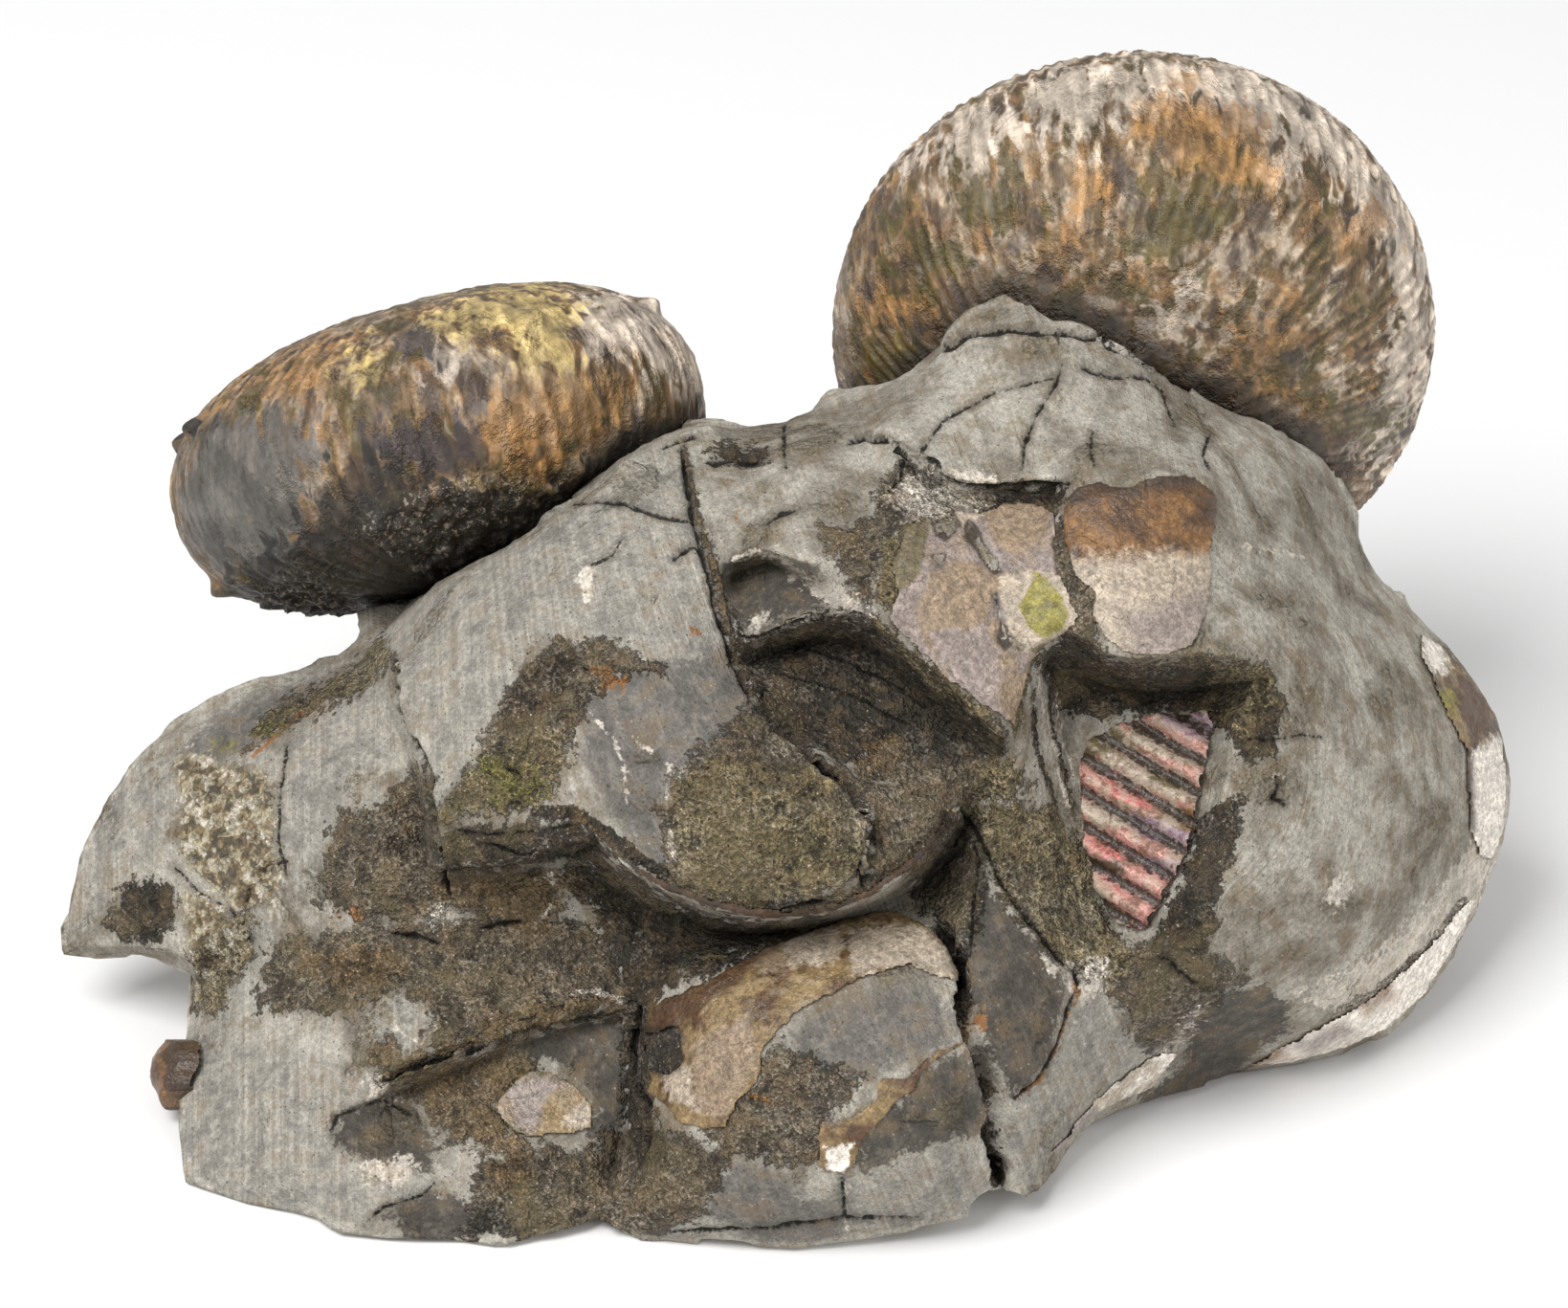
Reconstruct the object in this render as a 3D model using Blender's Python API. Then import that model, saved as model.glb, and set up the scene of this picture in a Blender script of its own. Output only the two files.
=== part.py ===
"""Two coiled ammonites standing out of a lump of concretion, with broken shell in its face.

The stone is one solid. Its front is drawn as a relief: break lines and spot heights on a front
view, seen from EYE_DISTANCE away and EYE_PITCH above the horizon. Its back is a few points in
the part's own frame. The part rests on a flat base at Z = 0 and faces -Y.
"""

import math

import bmesh
import bpy
from mathutils import Matrix, Vector, noise
from mathutils.bvhtree import BVHTree
from mathutils.geometry import delaunay_2d_cdt

MM = 0.001

# The front view: points are in tenths of a millimetre, right and down from the sheet's corner.
SHEET_STEP = 0.1 * MM
SHEET_CENTRE = (819.5, 683.5)
EYE_DISTANCE = 500 * MM
EYE_PITCH = math.radians(30)
SHEET_HEIGHT = 54.2 * MM  # of the sheet's centre over the base

# The stone.
REFINEMENTS = 2
SOFTENING = 5
OUTLINE_SOFTENING = 1
STONE_TRIANGLES = 3800
ROUGHNESS = ((11 * MM, 0.5 * MM), (4 * MM, 0.22 * MM))  # size and height of the lumps
BACK_ROUGHNESS = ((24 * MM, 4 * MM), (12 * MM, 2 * MM))  # what the unseen side has besides
NOISE_ORIGIN = Vector((3.1, 7.7, 1.9))
BASE_DEPTH = 20 * MM
STONE_WIDTH_LIMIT = 200 * MM

# The ammonites.
LARGE_DIAMETER = 72 * MM
LARGE_THICKNESS = 46 * MM
LARGE_RIBS = 44
LARGE_ROWS = 14
SMALL_DIAMETER = 66 * MM
SMALL_THICKNESS = 33 * MM
SMALL_RIBS = 38
SMALL_ROWS = 12
RIB_HEIGHT = 0.4 * MM
WHORL_STEP = 0.1  # how much the radius drops in one turn
UMBILICUS = 0.17  # its share of the diameter
UMBILICUS_DEPTH = 0.45  # its share of the half thickness
SOCKET_GAP = 0.5 * MM
SOCKET_FACES = (32, 14)

# The shell fragments.
SHELL_GAP = 0.35 * MM
SHELL_THICKNESS = 0.8 * MM
SHELL_GRID = 30  # spacing of a shell's inner points on the sheet
SHELL_REACH = 1.6 * MM  # how far round each point the stone is felt for
SHELL_FEEL = 3 * MM  # how far above and below it
SHELL_CALM = 1.5  # how much a shell's normals lean towards the eye
SHELL_LIFT = 0.15 * MM
SHELL_TRIES = 20
SHELL_RIB_HEIGHT = 0.55 * MM
SHELL_RIB_SPACING = 27
SHELL_RIB_LEAN = math.radians(27)

# Each line is a run of (right, down, height towards the eye in millimetres).
OUTLINE = [
    (58, 965, -34), (62, 1002, -35), (105, 1006, -35), (150, 1004, -33), (196, 1022, -28),
    (190, 1075, -24), (184, 1130, -19), (182, 1180, -15), (186, 1240, -10), (258, 1262, -7),
    (312, 1272, -5), (342, 1294, -2), (420, 1298, -1), (480, 1303, -1), (532, 1306, 0),
    (580, 1292, -1), (625, 1279, -2), (662, 1293, -1), (740, 1304, 0), (825, 1310, 0),
    (880, 1304, 0), (960, 1287, -1), (1015, 1278, -2), (1040, 1243, -3), (1060, 1250, -3),
    (1076, 1256, -4), (1096, 1241, -6), (1120, 1201, -14), (1150, 1173, -18), (1200, 1152, -21),
    (1260, 1137, -24), (1300, 1124, -26), (1350, 1117, -27), (1400, 1106, -28), (1450, 1086, -31),
    (1490, 1050, -34), (1522, 1000, -36), (1556, 940, -38), (1577, 880, -39), (1584, 810, -40),
    (1574, 755, -40), (1550, 712, -40), (1502, 656, -40), (1470, 625, -39), (1440, 585, -38),
    (1424, 550, -38), (1417, 515, -37), (1400, 488, -35), (1365, 450, -33), (1330, 428, -30),
    (1290, 410, -28), (1250, 394, -26), (1215, 374, -23), (1170, 345, -20), (1130, 327, -19),
    (1090, 318, -19), (1050, 311, -20), (1010, 321, -21), (978, 345, -23), (946, 374, -25),
    (922, 396, -27), (868, 402, -30), (850, 425, -27), (800, 438, -25), (770, 445, -25),
    (742, 436, -32), (640, 436, -42), (560, 470, -46), (480, 516, -48), (420, 562, -45),
    (385, 596, -40), (368, 640, -34), (372, 664, -30), (340, 680, -30), (290, 699, -31),
    (220, 726, -32), (160, 762, -33), (124, 802, -34), (98, 852, -34), (80, 892, -34),
]

# Break lines stay sharp.
BREAKS = {
    "crest beside the small ammonite": [
        (752, 449, -19), (720, 451, -15), (690, 466, -13), (650, 482, -11), (610, 514, -10),
        (570, 550, -10), (520, 581, -11), (470, 606, -13), (440, 632, -16), (412, 668, -18),
    ],
    "foot of the crest": [
        (716, 446, -30), (684, 458, -34), (645, 472, -40), (603, 505, -42), (563, 541, -42),
        (513, 572, -42), (463, 597, -40), (433, 622, -36), (402, 660, -28),
    ],
    "left ledge, top": [
        (414, 692, -9), (420, 742, -5), (441, 800, -2), (453, 850, 0), (459, 897, 1),
    ],
    "left ledge, foot": [
        (404, 696, -14), (410, 746, -12), (430, 806, -10), (443, 856, -10), (449, 905, -10),
    ],
    "overhang": [
        (480, 906, 2), (560, 896, 4), (592, 884, 5), (622, 872, 7), (650, 905, 8), (700, 932, 9),
        (745, 948, 9), (790, 958, 9), (850, 953, 9), (905, 938, 8), (950, 912, 6), (985, 872, 3),
        (1004, 843, 1),
    ],
    "under the overhang": [
        (470, 922, -9), (560, 912, -8), (608, 904, -8), (640, 932, -8), (694, 958, -8),
        (745, 972, -7), (795, 978, -6), (852, 972, -5), (912, 956, -5), (962, 928, -5),
        (996, 884, -5), (1018, 848, -4),
    ],
    "dark notch, upper edge": [
        (774, 668, 1), (812, 655, 3), (852, 641, 5), (906, 639, 6), (962, 690, 6), (1010, 732, 5),
        (1050, 770, 4),
    ],
    "dark notch, root": [
        (790, 690, -5), (850, 668, -4), (905, 672, -3), (960, 726, -3), (1004, 762, -2),
        (1036, 796, -1),
    ],
    "small dark face, upper edge": [
        (757, 588, -2), (801, 573, 0), (850, 590, 2),
    ],
    "small dark face, root": [
        (768, 604, -5), (806, 590, -4), (858, 610, -1),
    ],
    "front crack, dome side": [
        (783, 729, 6), (830, 772, 8), (872, 802, 9), (911, 850, 9), (907, 912, 9),
    ],
    "front crack, notch side": [
        (791, 724, 1), (838, 766, 3), (881, 795, 4), (921, 846, 6), (918, 905, 7),
    ],
    "shell step": [
        (932, 462, -5), (976, 490, -4), (1004, 505, -3), (1060, 503, -4), (1112, 500, -4),
    ],
    "shell step, foot": [
        (928, 474, -7), (970, 500, -6), (1000, 516, -5), (1060, 515, -6), (1108, 514, -6),
    ],
    "plate block, top": [
        (1114, 516, -2), (1146, 502, -1), (1176, 507, -1), (1212, 496, -1), (1262, 506, -3),
    ],
    "plate block, lower edge": [
        (1104, 652, 4), (1128, 660, 5), (1152, 680, 6), (1200, 690, 6), (1242, 681, 5),
        (1300, 690, 2),
    ],
    "hollow under the plate": [
        (1096, 700, -4), (1124, 706, -7), (1152, 718, -9), (1200, 726, -9), (1248, 722, -8),
        (1300, 716, -5),
    ],
    "hollow, left wall": [
        (1076, 700, 2), (1070, 770, 1), (1056, 828, 1),
    ],
    "hollow, root": [
        (1112, 744, -9), (1118, 800, -8), (1128, 880, -6), (1150, 948, -4), (1166, 975, -3),
    ],
    "ribbed shell, right edge": [
        (1278, 744, -6), (1272, 800, -3), (1246, 880, -1), (1198, 974, -1),
    ],
    "stone beside the ribbed shell": [
        (1292, 744, -3), (1288, 802, 0), (1262, 886, 1), (1212, 984, 1),
    ],
    "tan shell, top": [
        (672, 1050, -4), (716, 1010, -2), (800, 988, -1), (900, 962, -1), (960, 966, 0),
        (984, 974, 0),
    ],
    "lower ledge": [
        (386, 1140, -4), (450, 1115, -3), (540, 1076, -3), (656, 1045, -5),
    ],
    "lower ledge, foot": [
        (398, 1152, -7), (460, 1127, -7), (550, 1089, -7), (652, 1060, -8),
    ],
    "joint between the lower blocks": [
        (668, 1076, -7), (656, 1150, -6), (640, 1220, -5),
    ],
    "main crack, left lip": [
        (988, 990, 3), (1000, 1040, 6), (1022, 1100, 8), (1034, 1150, 7), (1038, 1200, 3),
    ],
    "main crack, right lip": [
        (998, 986, 2), (1010, 1040, 4), (1034, 1100, 5), (1046, 1150, 4), (1050, 1200, 0),
    ],
    "rim of the left lobe": [
        (72, 985, -33), (120, 988, -29), (180, 990, -24), (214, 1010, -21),
    ],
    "wedge, lower edge": [
        (1086, 1222, -4), (1112, 1180, -7), (1146, 1146, -10), (1190, 1112, -13),
        (1232, 1092, -15),
    ],
}

# Spot heights are where the stone is rounded.
SPOTS = {
    "left lobe": [
        (372, 690, -25), (310, 735, -24), (250, 765, -24), (200, 800, -25), (150, 850, -27),
        (120, 900, -28), (96, 950, -30), (160, 940, -25), (200, 900, -22), (240, 850, -20),
        (230, 950, -20),
    ],
    "left block": [
        (396, 740, -14), (340, 770, -15), (300, 800, -16), (350, 820, -13), (400, 820, -12),
        (300, 880, -16), (350, 880, -11), (400, 880, -9), (430, 920, -11), (350, 940, -11),
        (290, 945, -17),
    ],
    "shoulder": [
        (700, 500, -9), (640, 530, -6), (580, 585, -5), (520, 620, -6), (455, 662, -10),
        (700, 560, -2), (740, 500, -9), (620, 600, 1), (560, 640, 2), (500, 660, -1),
        (450, 720, -3), (520, 730, 3), (600, 690, 5), (680, 640, 4), (735, 600, 1), (480, 800, 2),
        (530, 780, 3), (560, 850, 4), (500, 860, 2), (660, 700, 6), (750, 700, 5), (750, 660, 2),
    ],
    "dome": [
        (620, 780, 6), (680, 760, 8), (740, 780, 9), (640, 850, 8), (700, 850, 11), (760, 860, 13),
        (820, 860, 13), (720, 910, 11), (790, 920, 12), (850, 910, 12), (790, 810, 10),
        (860, 860, 11),
    ],
    "above the notch": [
        (800, 480, -9), (870, 470, -8), (760, 540, -5), (830, 530, -4), (900, 520, -4),
        (880, 600, 3), (940, 600, 3),
    ],
    "below the notch": [
        (880, 740, -1), (940, 790, 1), (1000, 800, 1), (960, 850, 5), (940, 890, 6),
    ],
    "top slope": [
        (830, 450, -17), (900, 420, -21), (950, 400, -18), (1010, 360, -15), (1090, 350, -13),
        (1170, 380, -16), (1240, 430, -17), (1310, 460, -19), (1370, 510, -24), (900, 450, -13),
        (1000, 430, -11), (1100, 430, -10), (1200, 460, -9), (1290, 510, -10), (1350, 570, -14),
    ],
    "shell field": [
        (950, 560, 1), (1020, 570, 1), (1080, 580, 0), (960, 640, 5), (1020, 670, 5),
        (1060, 640, 3), (1040, 720, 5), (1090, 640, 3),
    ],
    "plate block": [
        (1150, 560, 2), (1210, 560, 2), (1264, 570, -1), (1150, 620, 5), (1210, 630, 5),
        (1262, 640, 2), (1310, 640, -2),
    ],
    "hollow": [
        (1200, 790, -6), (1180, 860, -4), (1180, 930, -2), (1094, 800, -3),
    ],
    "right mass": [
        (1340, 600, -9), (1390, 640, -13), (1440, 680, -19), (1490, 720, -25), (1530, 780, -28),
        (1350, 700, -4), (1420, 760, -9), (1480, 820, -17), (1536, 860, -29), (1340, 820, -1),
        (1400, 880, -5), (1460, 920, -14), (1510, 930, -25), (1300, 920, 0), (1340, 980, -3),
        (1400, 1000, -10), (1460, 1010, -22), (1260, 1000, 0), (1300, 1050, -7), (1360, 1070, -16),
        (1420, 1060, -22), (1230, 1060, -6),
    ],
    "green wedge": [
        (1040, 860, -1), (1090, 860, -3), (1060, 920, -1), (1120, 960, -2), (1160, 1020, -1),
        (1030, 930, 0),
    ],
    "dark wedge": [
        (1030, 990, 3), (1080, 1010, 2), (1060, 1080, 5), (1110, 1080, 2), (1080, 1150, 4),
        (1140, 1090, -2), (1072, 1210, 0), (1180, 1070, -4),
    ],
    "lower block": [
        (720, 1060, 1), (780, 1030, 4), (860, 1000, 4), (940, 1000, 4), (700, 1120, 2),
        (760, 1110, 6), (850, 1080, 8), (940, 1070, 9), (700, 1190, 4), (780, 1180, 8),
        (870, 1160, 11), (960, 1150, 11), (1010, 1160, 9), (680, 1250, 3), (770, 1250, 6),
        (870, 1240, 9), (970, 1230, 8), (1020, 1220, 5),
    ],
    "hollow of the lower block": [
        (700, 990, -7), (640, 990, -8), (660, 1030, -8), (960, 944, -5),
    ],
    "lower left block": [
        (240, 1040, -18), (280, 980, -17), (350, 990, -13), (420, 980, -12), (500, 960, -10),
        (580, 950, -9), (420, 1050, -7), (500, 1040, -6), (580, 1020, -7), (330, 1060, -11),
        (240, 1120, -13), (320, 1130, -7), (240, 1200, -8), (320, 1200, -3), (400, 1200, -3),
        (470, 1170, -5), (400, 1260, 1), (300, 1250, -3), (480, 1230, 0), (560, 1150, -6),
        (620, 1120, -7), (560, 1210, -2), (610, 1200, -3), (540, 1270, 0), (600, 1250, 0),
    ],
}

# The stone's back, in the part's frame, in millimetres.
BACK = [
    (-58, -10, -2), (-36, -18, -2), (-10, -22, -2), (9, -22, -2), (24, -14, -2), (33, -2, -2),
    (48, 6, -2), (62, 12, -2), (-60, 10, -2), (-46, 34, -2), (-22, 54, -2), (8, 62, -2),
    (38, 64, -2), (58, 50, -2), (67, 30, -2), (-72, 22, 10), (-64, 34, 14), (-48, 50, 14),
    (-20, 66, 14), (10, 74, 14), (42, 75, 14), (66, 60, 14), (76, 38, 14), (-62, 38, 24),
    (-42, 56, 27), (-16, 68, 30), (12, 74, 30), (42, 76, 28), (64, 62, 28), (75, 42, 26),
    (-36, 60, 35), (-14, 63, 45), (8, 66, 44), (38, 70, 36), (62, 56, 38), (8, 53, 56),
    (-5, 48, 53), (62, 44, 46),
]


# The outlines of the shell fragments on the sheet.
SHELLS = {
    "brown_shell": [
        (1113, 522), (1126, 512), (1150, 507), (1172, 512), (1192, 504), (1216, 500), (1244, 504),
        (1266, 514), (1272, 545), (1268, 580), (1271, 630), (1272, 664), (1250, 674), (1215, 680),
        (1182, 674), (1154, 658), (1136, 640), (1140, 620), (1125, 606), (1114, 580), (1118, 550),
    ],
    "mottled_shell": [
        (940, 548), (962, 538), (1000, 546), (1040, 532), (1080, 528), (1100, 534), (1106, 562),
        (1108, 592), (1118, 618), (1112, 640), (1096, 668), (1074, 688), (1062, 736), (1030, 740),
        (992, 712), (962, 680), (926, 648), (936, 620), (928, 590),
    ],
    "shell_rim": [
        (660, 893), (700, 913), (745, 929), (790, 939), (850, 935), (902, 920), (944, 896),
        (974, 864), (988, 846), (998, 850), (984, 869), (950, 907), (905, 932), (850, 947),
        (790, 952), (745, 942), (700, 926), (662, 906),
    ],
    "tan_shell": [
        (684, 1058), (718, 1020), (800, 998), (850, 984), (900, 974), (940, 976), (966, 986),
        (980, 1008), (982, 1028), (955, 1022), (908, 1026), (862, 1046), (826, 1074), (806, 1112),
        (774, 1150), (744, 1168), (716, 1178), (702, 1158), (690, 1130), (676, 1108), (678, 1082),
    ],
    "tan_strip": [
        (854, 1214), (851, 1190), (870, 1166), (904, 1150), (924, 1127), (958, 1110), (984, 1092),
        (1004, 1088), (1002, 1100), (974, 1116), (956, 1132), (936, 1152), (916, 1172),
        (898, 1186), (903, 1206), (884, 1226), (866, 1228),
    ],
    "small_round_shell": [
        (530, 1152), (540, 1132), (560, 1122), (585, 1124), (606, 1138), (617, 1156), (615, 1174),
        (598, 1186), (574, 1184), (548, 1174),
    ],
    "right_edge_shell": [
        (1484, 662), (1504, 676), (1530, 706), (1550, 738), (1562, 776), (1566, 820), (1560, 862),
        (1548, 898), (1534, 892), (1530, 860), (1526, 820), (1528, 788), (1510, 750), (1492, 712),
        (1482, 684),
    ],
    "lower_edge_shell": [
        (1312, 1108), (1342, 1088), (1380, 1072), (1420, 1054), (1450, 1030), (1480, 1002),
        (1510, 968), (1528, 944), (1536, 952), (1512, 994), (1482, 1036), (1446, 1066),
        (1400, 1088), (1350, 1102),
    ],
    "lower_front_shell": [
        (1102, 1190), (1126, 1158), (1158, 1134), (1192, 1114), (1220, 1100), (1228, 1110),
        (1192, 1134), (1150, 1154), (1122, 1180), (1108, 1196),
    ],
    "ribbed_shell": [
        (1130, 778), (1150, 760), (1190, 752), (1230, 748), (1266, 752), (1264, 800), (1254, 846),
        (1238, 880), (1216, 924), (1192, 962), (1170, 962), (1156, 946), (1148, 920), (1140, 886),
        (1134, 850), (1128, 810),
    ],
}

# The outline of the fragment at the left edge, seen from the part's left, in millimetres.
AMBER = [(-8, 7), (-5, 9.5), (0, 10), (4, 7.5), (4.5, 4), (1, 2.6), (-4, 2.8), (-8, 4)]


def metres(values):
    """The same lengths, given in millimetres, in metres."""
    return Vector(values) * MM


SHEET_TURN = Matrix.Rotation(math.pi / 2 - EYE_PITCH, 4, "X")
SHEET_TO_PART = Matrix.Translation((0, 0, SHEET_HEIGHT)) @ SHEET_TURN


def on_sheet(right, down, towards):
    """The point in the part's frame that the eye sees at a place on the sheet, at a height towards it."""
    spread = (EYE_DISTANCE - towards) / EYE_DISTANCE * SHEET_STEP
    across = (right - SHEET_CENTRE[0]) * spread
    up = (SHEET_CENTRE[1] - down) * spread
    return SHEET_TO_PART @ Vector((across, up, towards))


def sheet_place(point):
    """Where the eye sees a point of the part: right, down and the height towards the eye."""
    across, up, towards = SHEET_TO_PART.inverted() @ point
    spread = (EYE_DISTANCE - towards) / EYE_DISTANCE * SHEET_STEP
    return SHEET_CENTRE[0] + across / spread, SHEET_CENTRE[1] - up / spread, towards


def clear_scene():
    """Removes whatever the scene holds."""
    for thing in list(bpy.data.objects):
        bpy.data.objects.remove(thing)


def material(name, colour, roughness, metallic=0.0):
    """A plain Principled finish."""
    made = bpy.data.materials.new(name)
    made.use_nodes = True
    shader = made.node_tree.nodes["Principled BSDF"]
    shader.inputs["Base Color"].default_value = (*colour, 1)
    shader.inputs["Roughness"].default_value = roughness
    shader.inputs["Metallic"].default_value = metallic
    return made


def add_object(name, mesh, collection, finish=None):
    """An object for a mesh, in a collection."""
    thing = bpy.data.objects.new(name, mesh)
    collection.objects.link(thing)
    if finish:
        mesh.materials.append(finish)
    return thing


def as_cutter(thing):
    """A helper that only shapes others."""
    thing.hide_render = True
    thing.display_type = "WIRE"
    return thing


def mesh_from(bm, name):
    """The bmesh as a mesh, which frees the bmesh."""
    mesh = bpy.data.meshes.new(name)
    bm.to_mesh(mesh)
    bm.free()
    return mesh


def triangulated(outline, breaks, spots):
    """A sheet's points as (right, down, height), its triangles, and the edges of its break lines."""
    places, rows, edges, drawn = [], [], [], set()

    def enter(run, closed=False):
        first = len(places)
        places.extend(Vector(point[:2]) for point in run)
        rows.extend(run)
        pairs = [(first + i, first + i + 1) for i in range(len(run) - 1)]
        if closed:
            pairs.append((first + len(run) - 1, first))
        return pairs

    ring = enter(outline, closed=True)
    for run in breaks:
        found = enter(run)
        edges.extend(found)
        drawn.update(found)
    for point in spots:
        enter([point])
    made = delaunay_2d_cdt(places, ring + edges, [], 1, 0.01)
    corners, faces, sources = made[0], made[2], made[3]
    if len(corners) != len(places):
        raise ValueError("two lines of the drawing cross")
    order = [source[0] for source in sources]
    triangles = [tuple(order[i] for i in face) for face in faces]
    return rows, triangles, drawn


def stone_cage():
    """The stone's coarse cage, with its break lines marked sharp."""
    spots = [point for run in SPOTS.values() for point in run]
    front, front_faces, drawn = triangulated(OUTLINE, BREAKS.values(), spots)
    seen = [sheet_place(metres(point)) for point in BACK]
    back_spots = [(right, down, towards / MM) for right, down, towards in seen]
    back, back_faces, _ = triangulated(OUTLINE, [], back_spots)
    bm = bmesh.new()
    mark = bm.edges.layers.int.new("outline")
    corners = [bm.verts.new(on_sheet(x, y, height * MM)) for x, y, height in front]
    ring = corners[:len(OUTLINE)]
    behind = ring + [bm.verts.new(metres(point)) for point in BACK]
    for face in front_faces:
        bm.faces.new([corners[i] for i in face])
    for face in back_faces:
        bm.faces.new([behind[i] for i in reversed(face)])
    for a, b in drawn:
        bm.edges.get((corners[a], corners[b])).smooth = False
    for i in range(len(ring)):
        bm.edges.get((ring[i - 1], ring[i]))[mark] = 1
    bmesh.ops.recalc_face_normals(bm, faces=bm.faces)
    return bm


EVERY_WAY = {"use_axis_x": True, "use_axis_y": True, "use_axis_z": True}


def soften(bm, rim):
    """Rounds the cage between its break lines, and its outline a little."""
    held = {v for e in bm.edges if not e.smooth for v in e.verts}
    free = [v for v in bm.verts if v not in held]
    inner = [v for v in free if v not in rim]
    for turn in range(SOFTENING):
        chosen = free if turn < OUTLINE_SOFTENING else inner
        bmesh.ops.smooth_vert(bm, verts=chosen, factor=0.5, **EVERY_WAY)


def refined(bm):
    """Splits every edge, keeping the break lines and the outline known, and rounds what is between."""
    mark = bm.edges.layers.int["outline"]
    for _ in range(REFINEMENTS):
        bmesh.ops.subdivide_edges(bm, edges=bm.edges[:], cuts=1, use_grid_fill=True)
        bmesh.ops.triangulate(bm, faces=bm.faces[:])
    rim = {v for e in bm.edges if e[mark] for v in e.verts}
    soften(bm, rim)
    return bm


def lumps(place, sizes):
    """The rise of the surface at a place, from noise of several sizes."""
    return sum(height * noise.noise(place / size + NOISE_ORIGIN) for size, height in sizes)


def roughen(bm):
    """Lumps all over the stone, larger on the side that the eye doesn't see."""
    bm.normal_update()
    away = -(SHEET_TO_PART.to_3x3() @ Vector((0, 0, 1)))
    moves = []
    for vert in bm.verts:
        unseen = max(0.0, min(1.0, 1.5 * vert.normal.dot(away)))
        rise = lumps(vert.co, ROUGHNESS) + unseen * lumps(vert.co, BACK_ROUGHNESS)
        moves.append(vert.normal * rise)
    for vert, move in zip(bm.verts, moves):
        vert.co += move


def whorl_place(turn, rise, radius, thickness, depth=UMBILICUS_DEPTH):
    """A point of an ammonite's surface. turn runs round the coil, and rise from one pole to the other."""
    across = max(0.0, math.cos(rise)) ** 0.8
    along = math.copysign(abs(math.sin(rise)) ** 0.92, rise)
    hollow = max(0.0, 1 - across / (2.4 * UMBILICUS))
    height = thickness / 2 * along * (1 - depth * hollow * hollow)
    return Vector((radius * across * math.cos(turn), radius * across * math.sin(turn), height))


def unit_globe(turns, rows):
    """A round ball to shape, with each point's turn about Z and its rise."""
    bm = bmesh.new()
    bmesh.ops.create_uvsphere(bm, u_segments=turns, v_segments=rows, radius=1)
    places = []
    for vert in bm.verts:
        turn = round(math.atan2(vert.co.y, vert.co.x) / math.tau * turns) % turns
        places.append((vert, turn * math.tau / turns, math.asin(max(-1.0, min(1.0, vert.co.z)))))
    return bm, places


def ammonite(name, collection, finish, diameter, thickness, ribs, rows):
    """A coiled shell about its own Z axis, with ribs across its outer side and hollow flanks."""
    bm, places = unit_globe(2 * ribs, rows)
    for vert, turn, rise in places:
        radius = diameter / 2 * (1 - WHORL_STEP * turn / math.tau)
        place = whorl_place(turn, rise, radius, thickness)
        crest = 1 if round(turn / math.tau * 2 * ribs) % 2 else -1
        strength = min(1.0, 1.6 * math.cos(rise))
        vert.co = place + place.normalized() * RIB_HEIGHT * crest * strength
    bmesh.ops.recalc_face_normals(bm, faces=bm.faces)
    for face in bm.faces:
        face.smooth = True
    for edge in bm.edges:
        edge.smooth = not runs_across(edge)
    return add_object(name, mesh_from(bm, name), collection, finish)


def socket(name, collection, diameter, thickness):
    """The room for an ammonite in the stone, a little bigger than its ribs all round."""
    turns, rows = SOCKET_FACES
    grow = RIB_HEIGHT + SOCKET_GAP
    bm, places = unit_globe(turns, rows)
    for vert, turn, rise in places:
        passed = turn if turn < math.tau * (turns - 1.5) / turns else 0.0
        radius = diameter / 2 * (1 - WHORL_STEP * max(0.0, passed / math.tau - 1 / turns))
        vert.co = whorl_place(turn, rise, radius + grow, thickness + 2 * grow, 0)
    bmesh.ops.recalc_face_normals(bm, faces=bm.faces)
    return as_cutter(add_object(name, mesh_from(bm, name), collection))


def runs_across(edge):
    """Whether an edge of an ammonite follows a rib, from flank to flank."""
    a, b = [vert.co for vert in edge.verts]
    bend = (a.xy.normalized() - b.xy.normalized()).length
    return min(a.xy.length, b.xy.length) > 1 * MM and bend < 0.01


def eye_frame(right, up, towards):
    """A direction given as seen by the eye."""
    return (SHEET_TO_PART.to_3x3() @ Vector((right, up, towards))).normalized()


# Where each ammonite stands: its centre, its coiling axis, and the way its opening faces, into the stone.
LARGE_PLACE = (on_sheet(1176, 349, -47 * MM), eye_frame(0.04, -0.67, 0.74), eye_frame(0.35, -0.8, -0.45))
SMALL_PLACE = (on_sheet(466, 468, -44 * MM), eye_frame(-0.27, 0.96, -0.04), eye_frame(0.62, 0.2, -0.75))


def placed(thing, centre, axis, opening):
    """Stands an ammonite at a centre with its coiling axis along axis."""
    across = axis.cross(opening).normalized()
    turned_axes = Matrix((across.cross(axis), across, axis)).transposed()
    thing.matrix_world = Matrix.Translation(centre) @ turned_axes.to_4x4()
    return thing


def cut(thing, cutter, operation="DIFFERENCE"):
    """A Boolean of one object by another."""
    modifier = thing.modifiers.new("cut by " + cutter.name, "BOOLEAN")
    modifier.operation = operation
    modifier.solver = "EXACT"
    modifier.object = cutter


def base_cutter(collection):
    """The block below the part's resting plane."""
    bm = bmesh.new()
    bmesh.ops.create_cube(bm, size=1)
    bmesh.ops.scale(bm, vec=(STONE_WIDTH_LIMIT, STONE_WIDTH_LIMIT, BASE_DEPTH), verts=bm.verts)
    bmesh.ops.translate(bm, vec=(0, 0, -BASE_DEPTH / 2), verts=bm.verts)
    return as_cutter(add_object("base_cutter", mesh_from(bm, "base_cutter"), collection))


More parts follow.
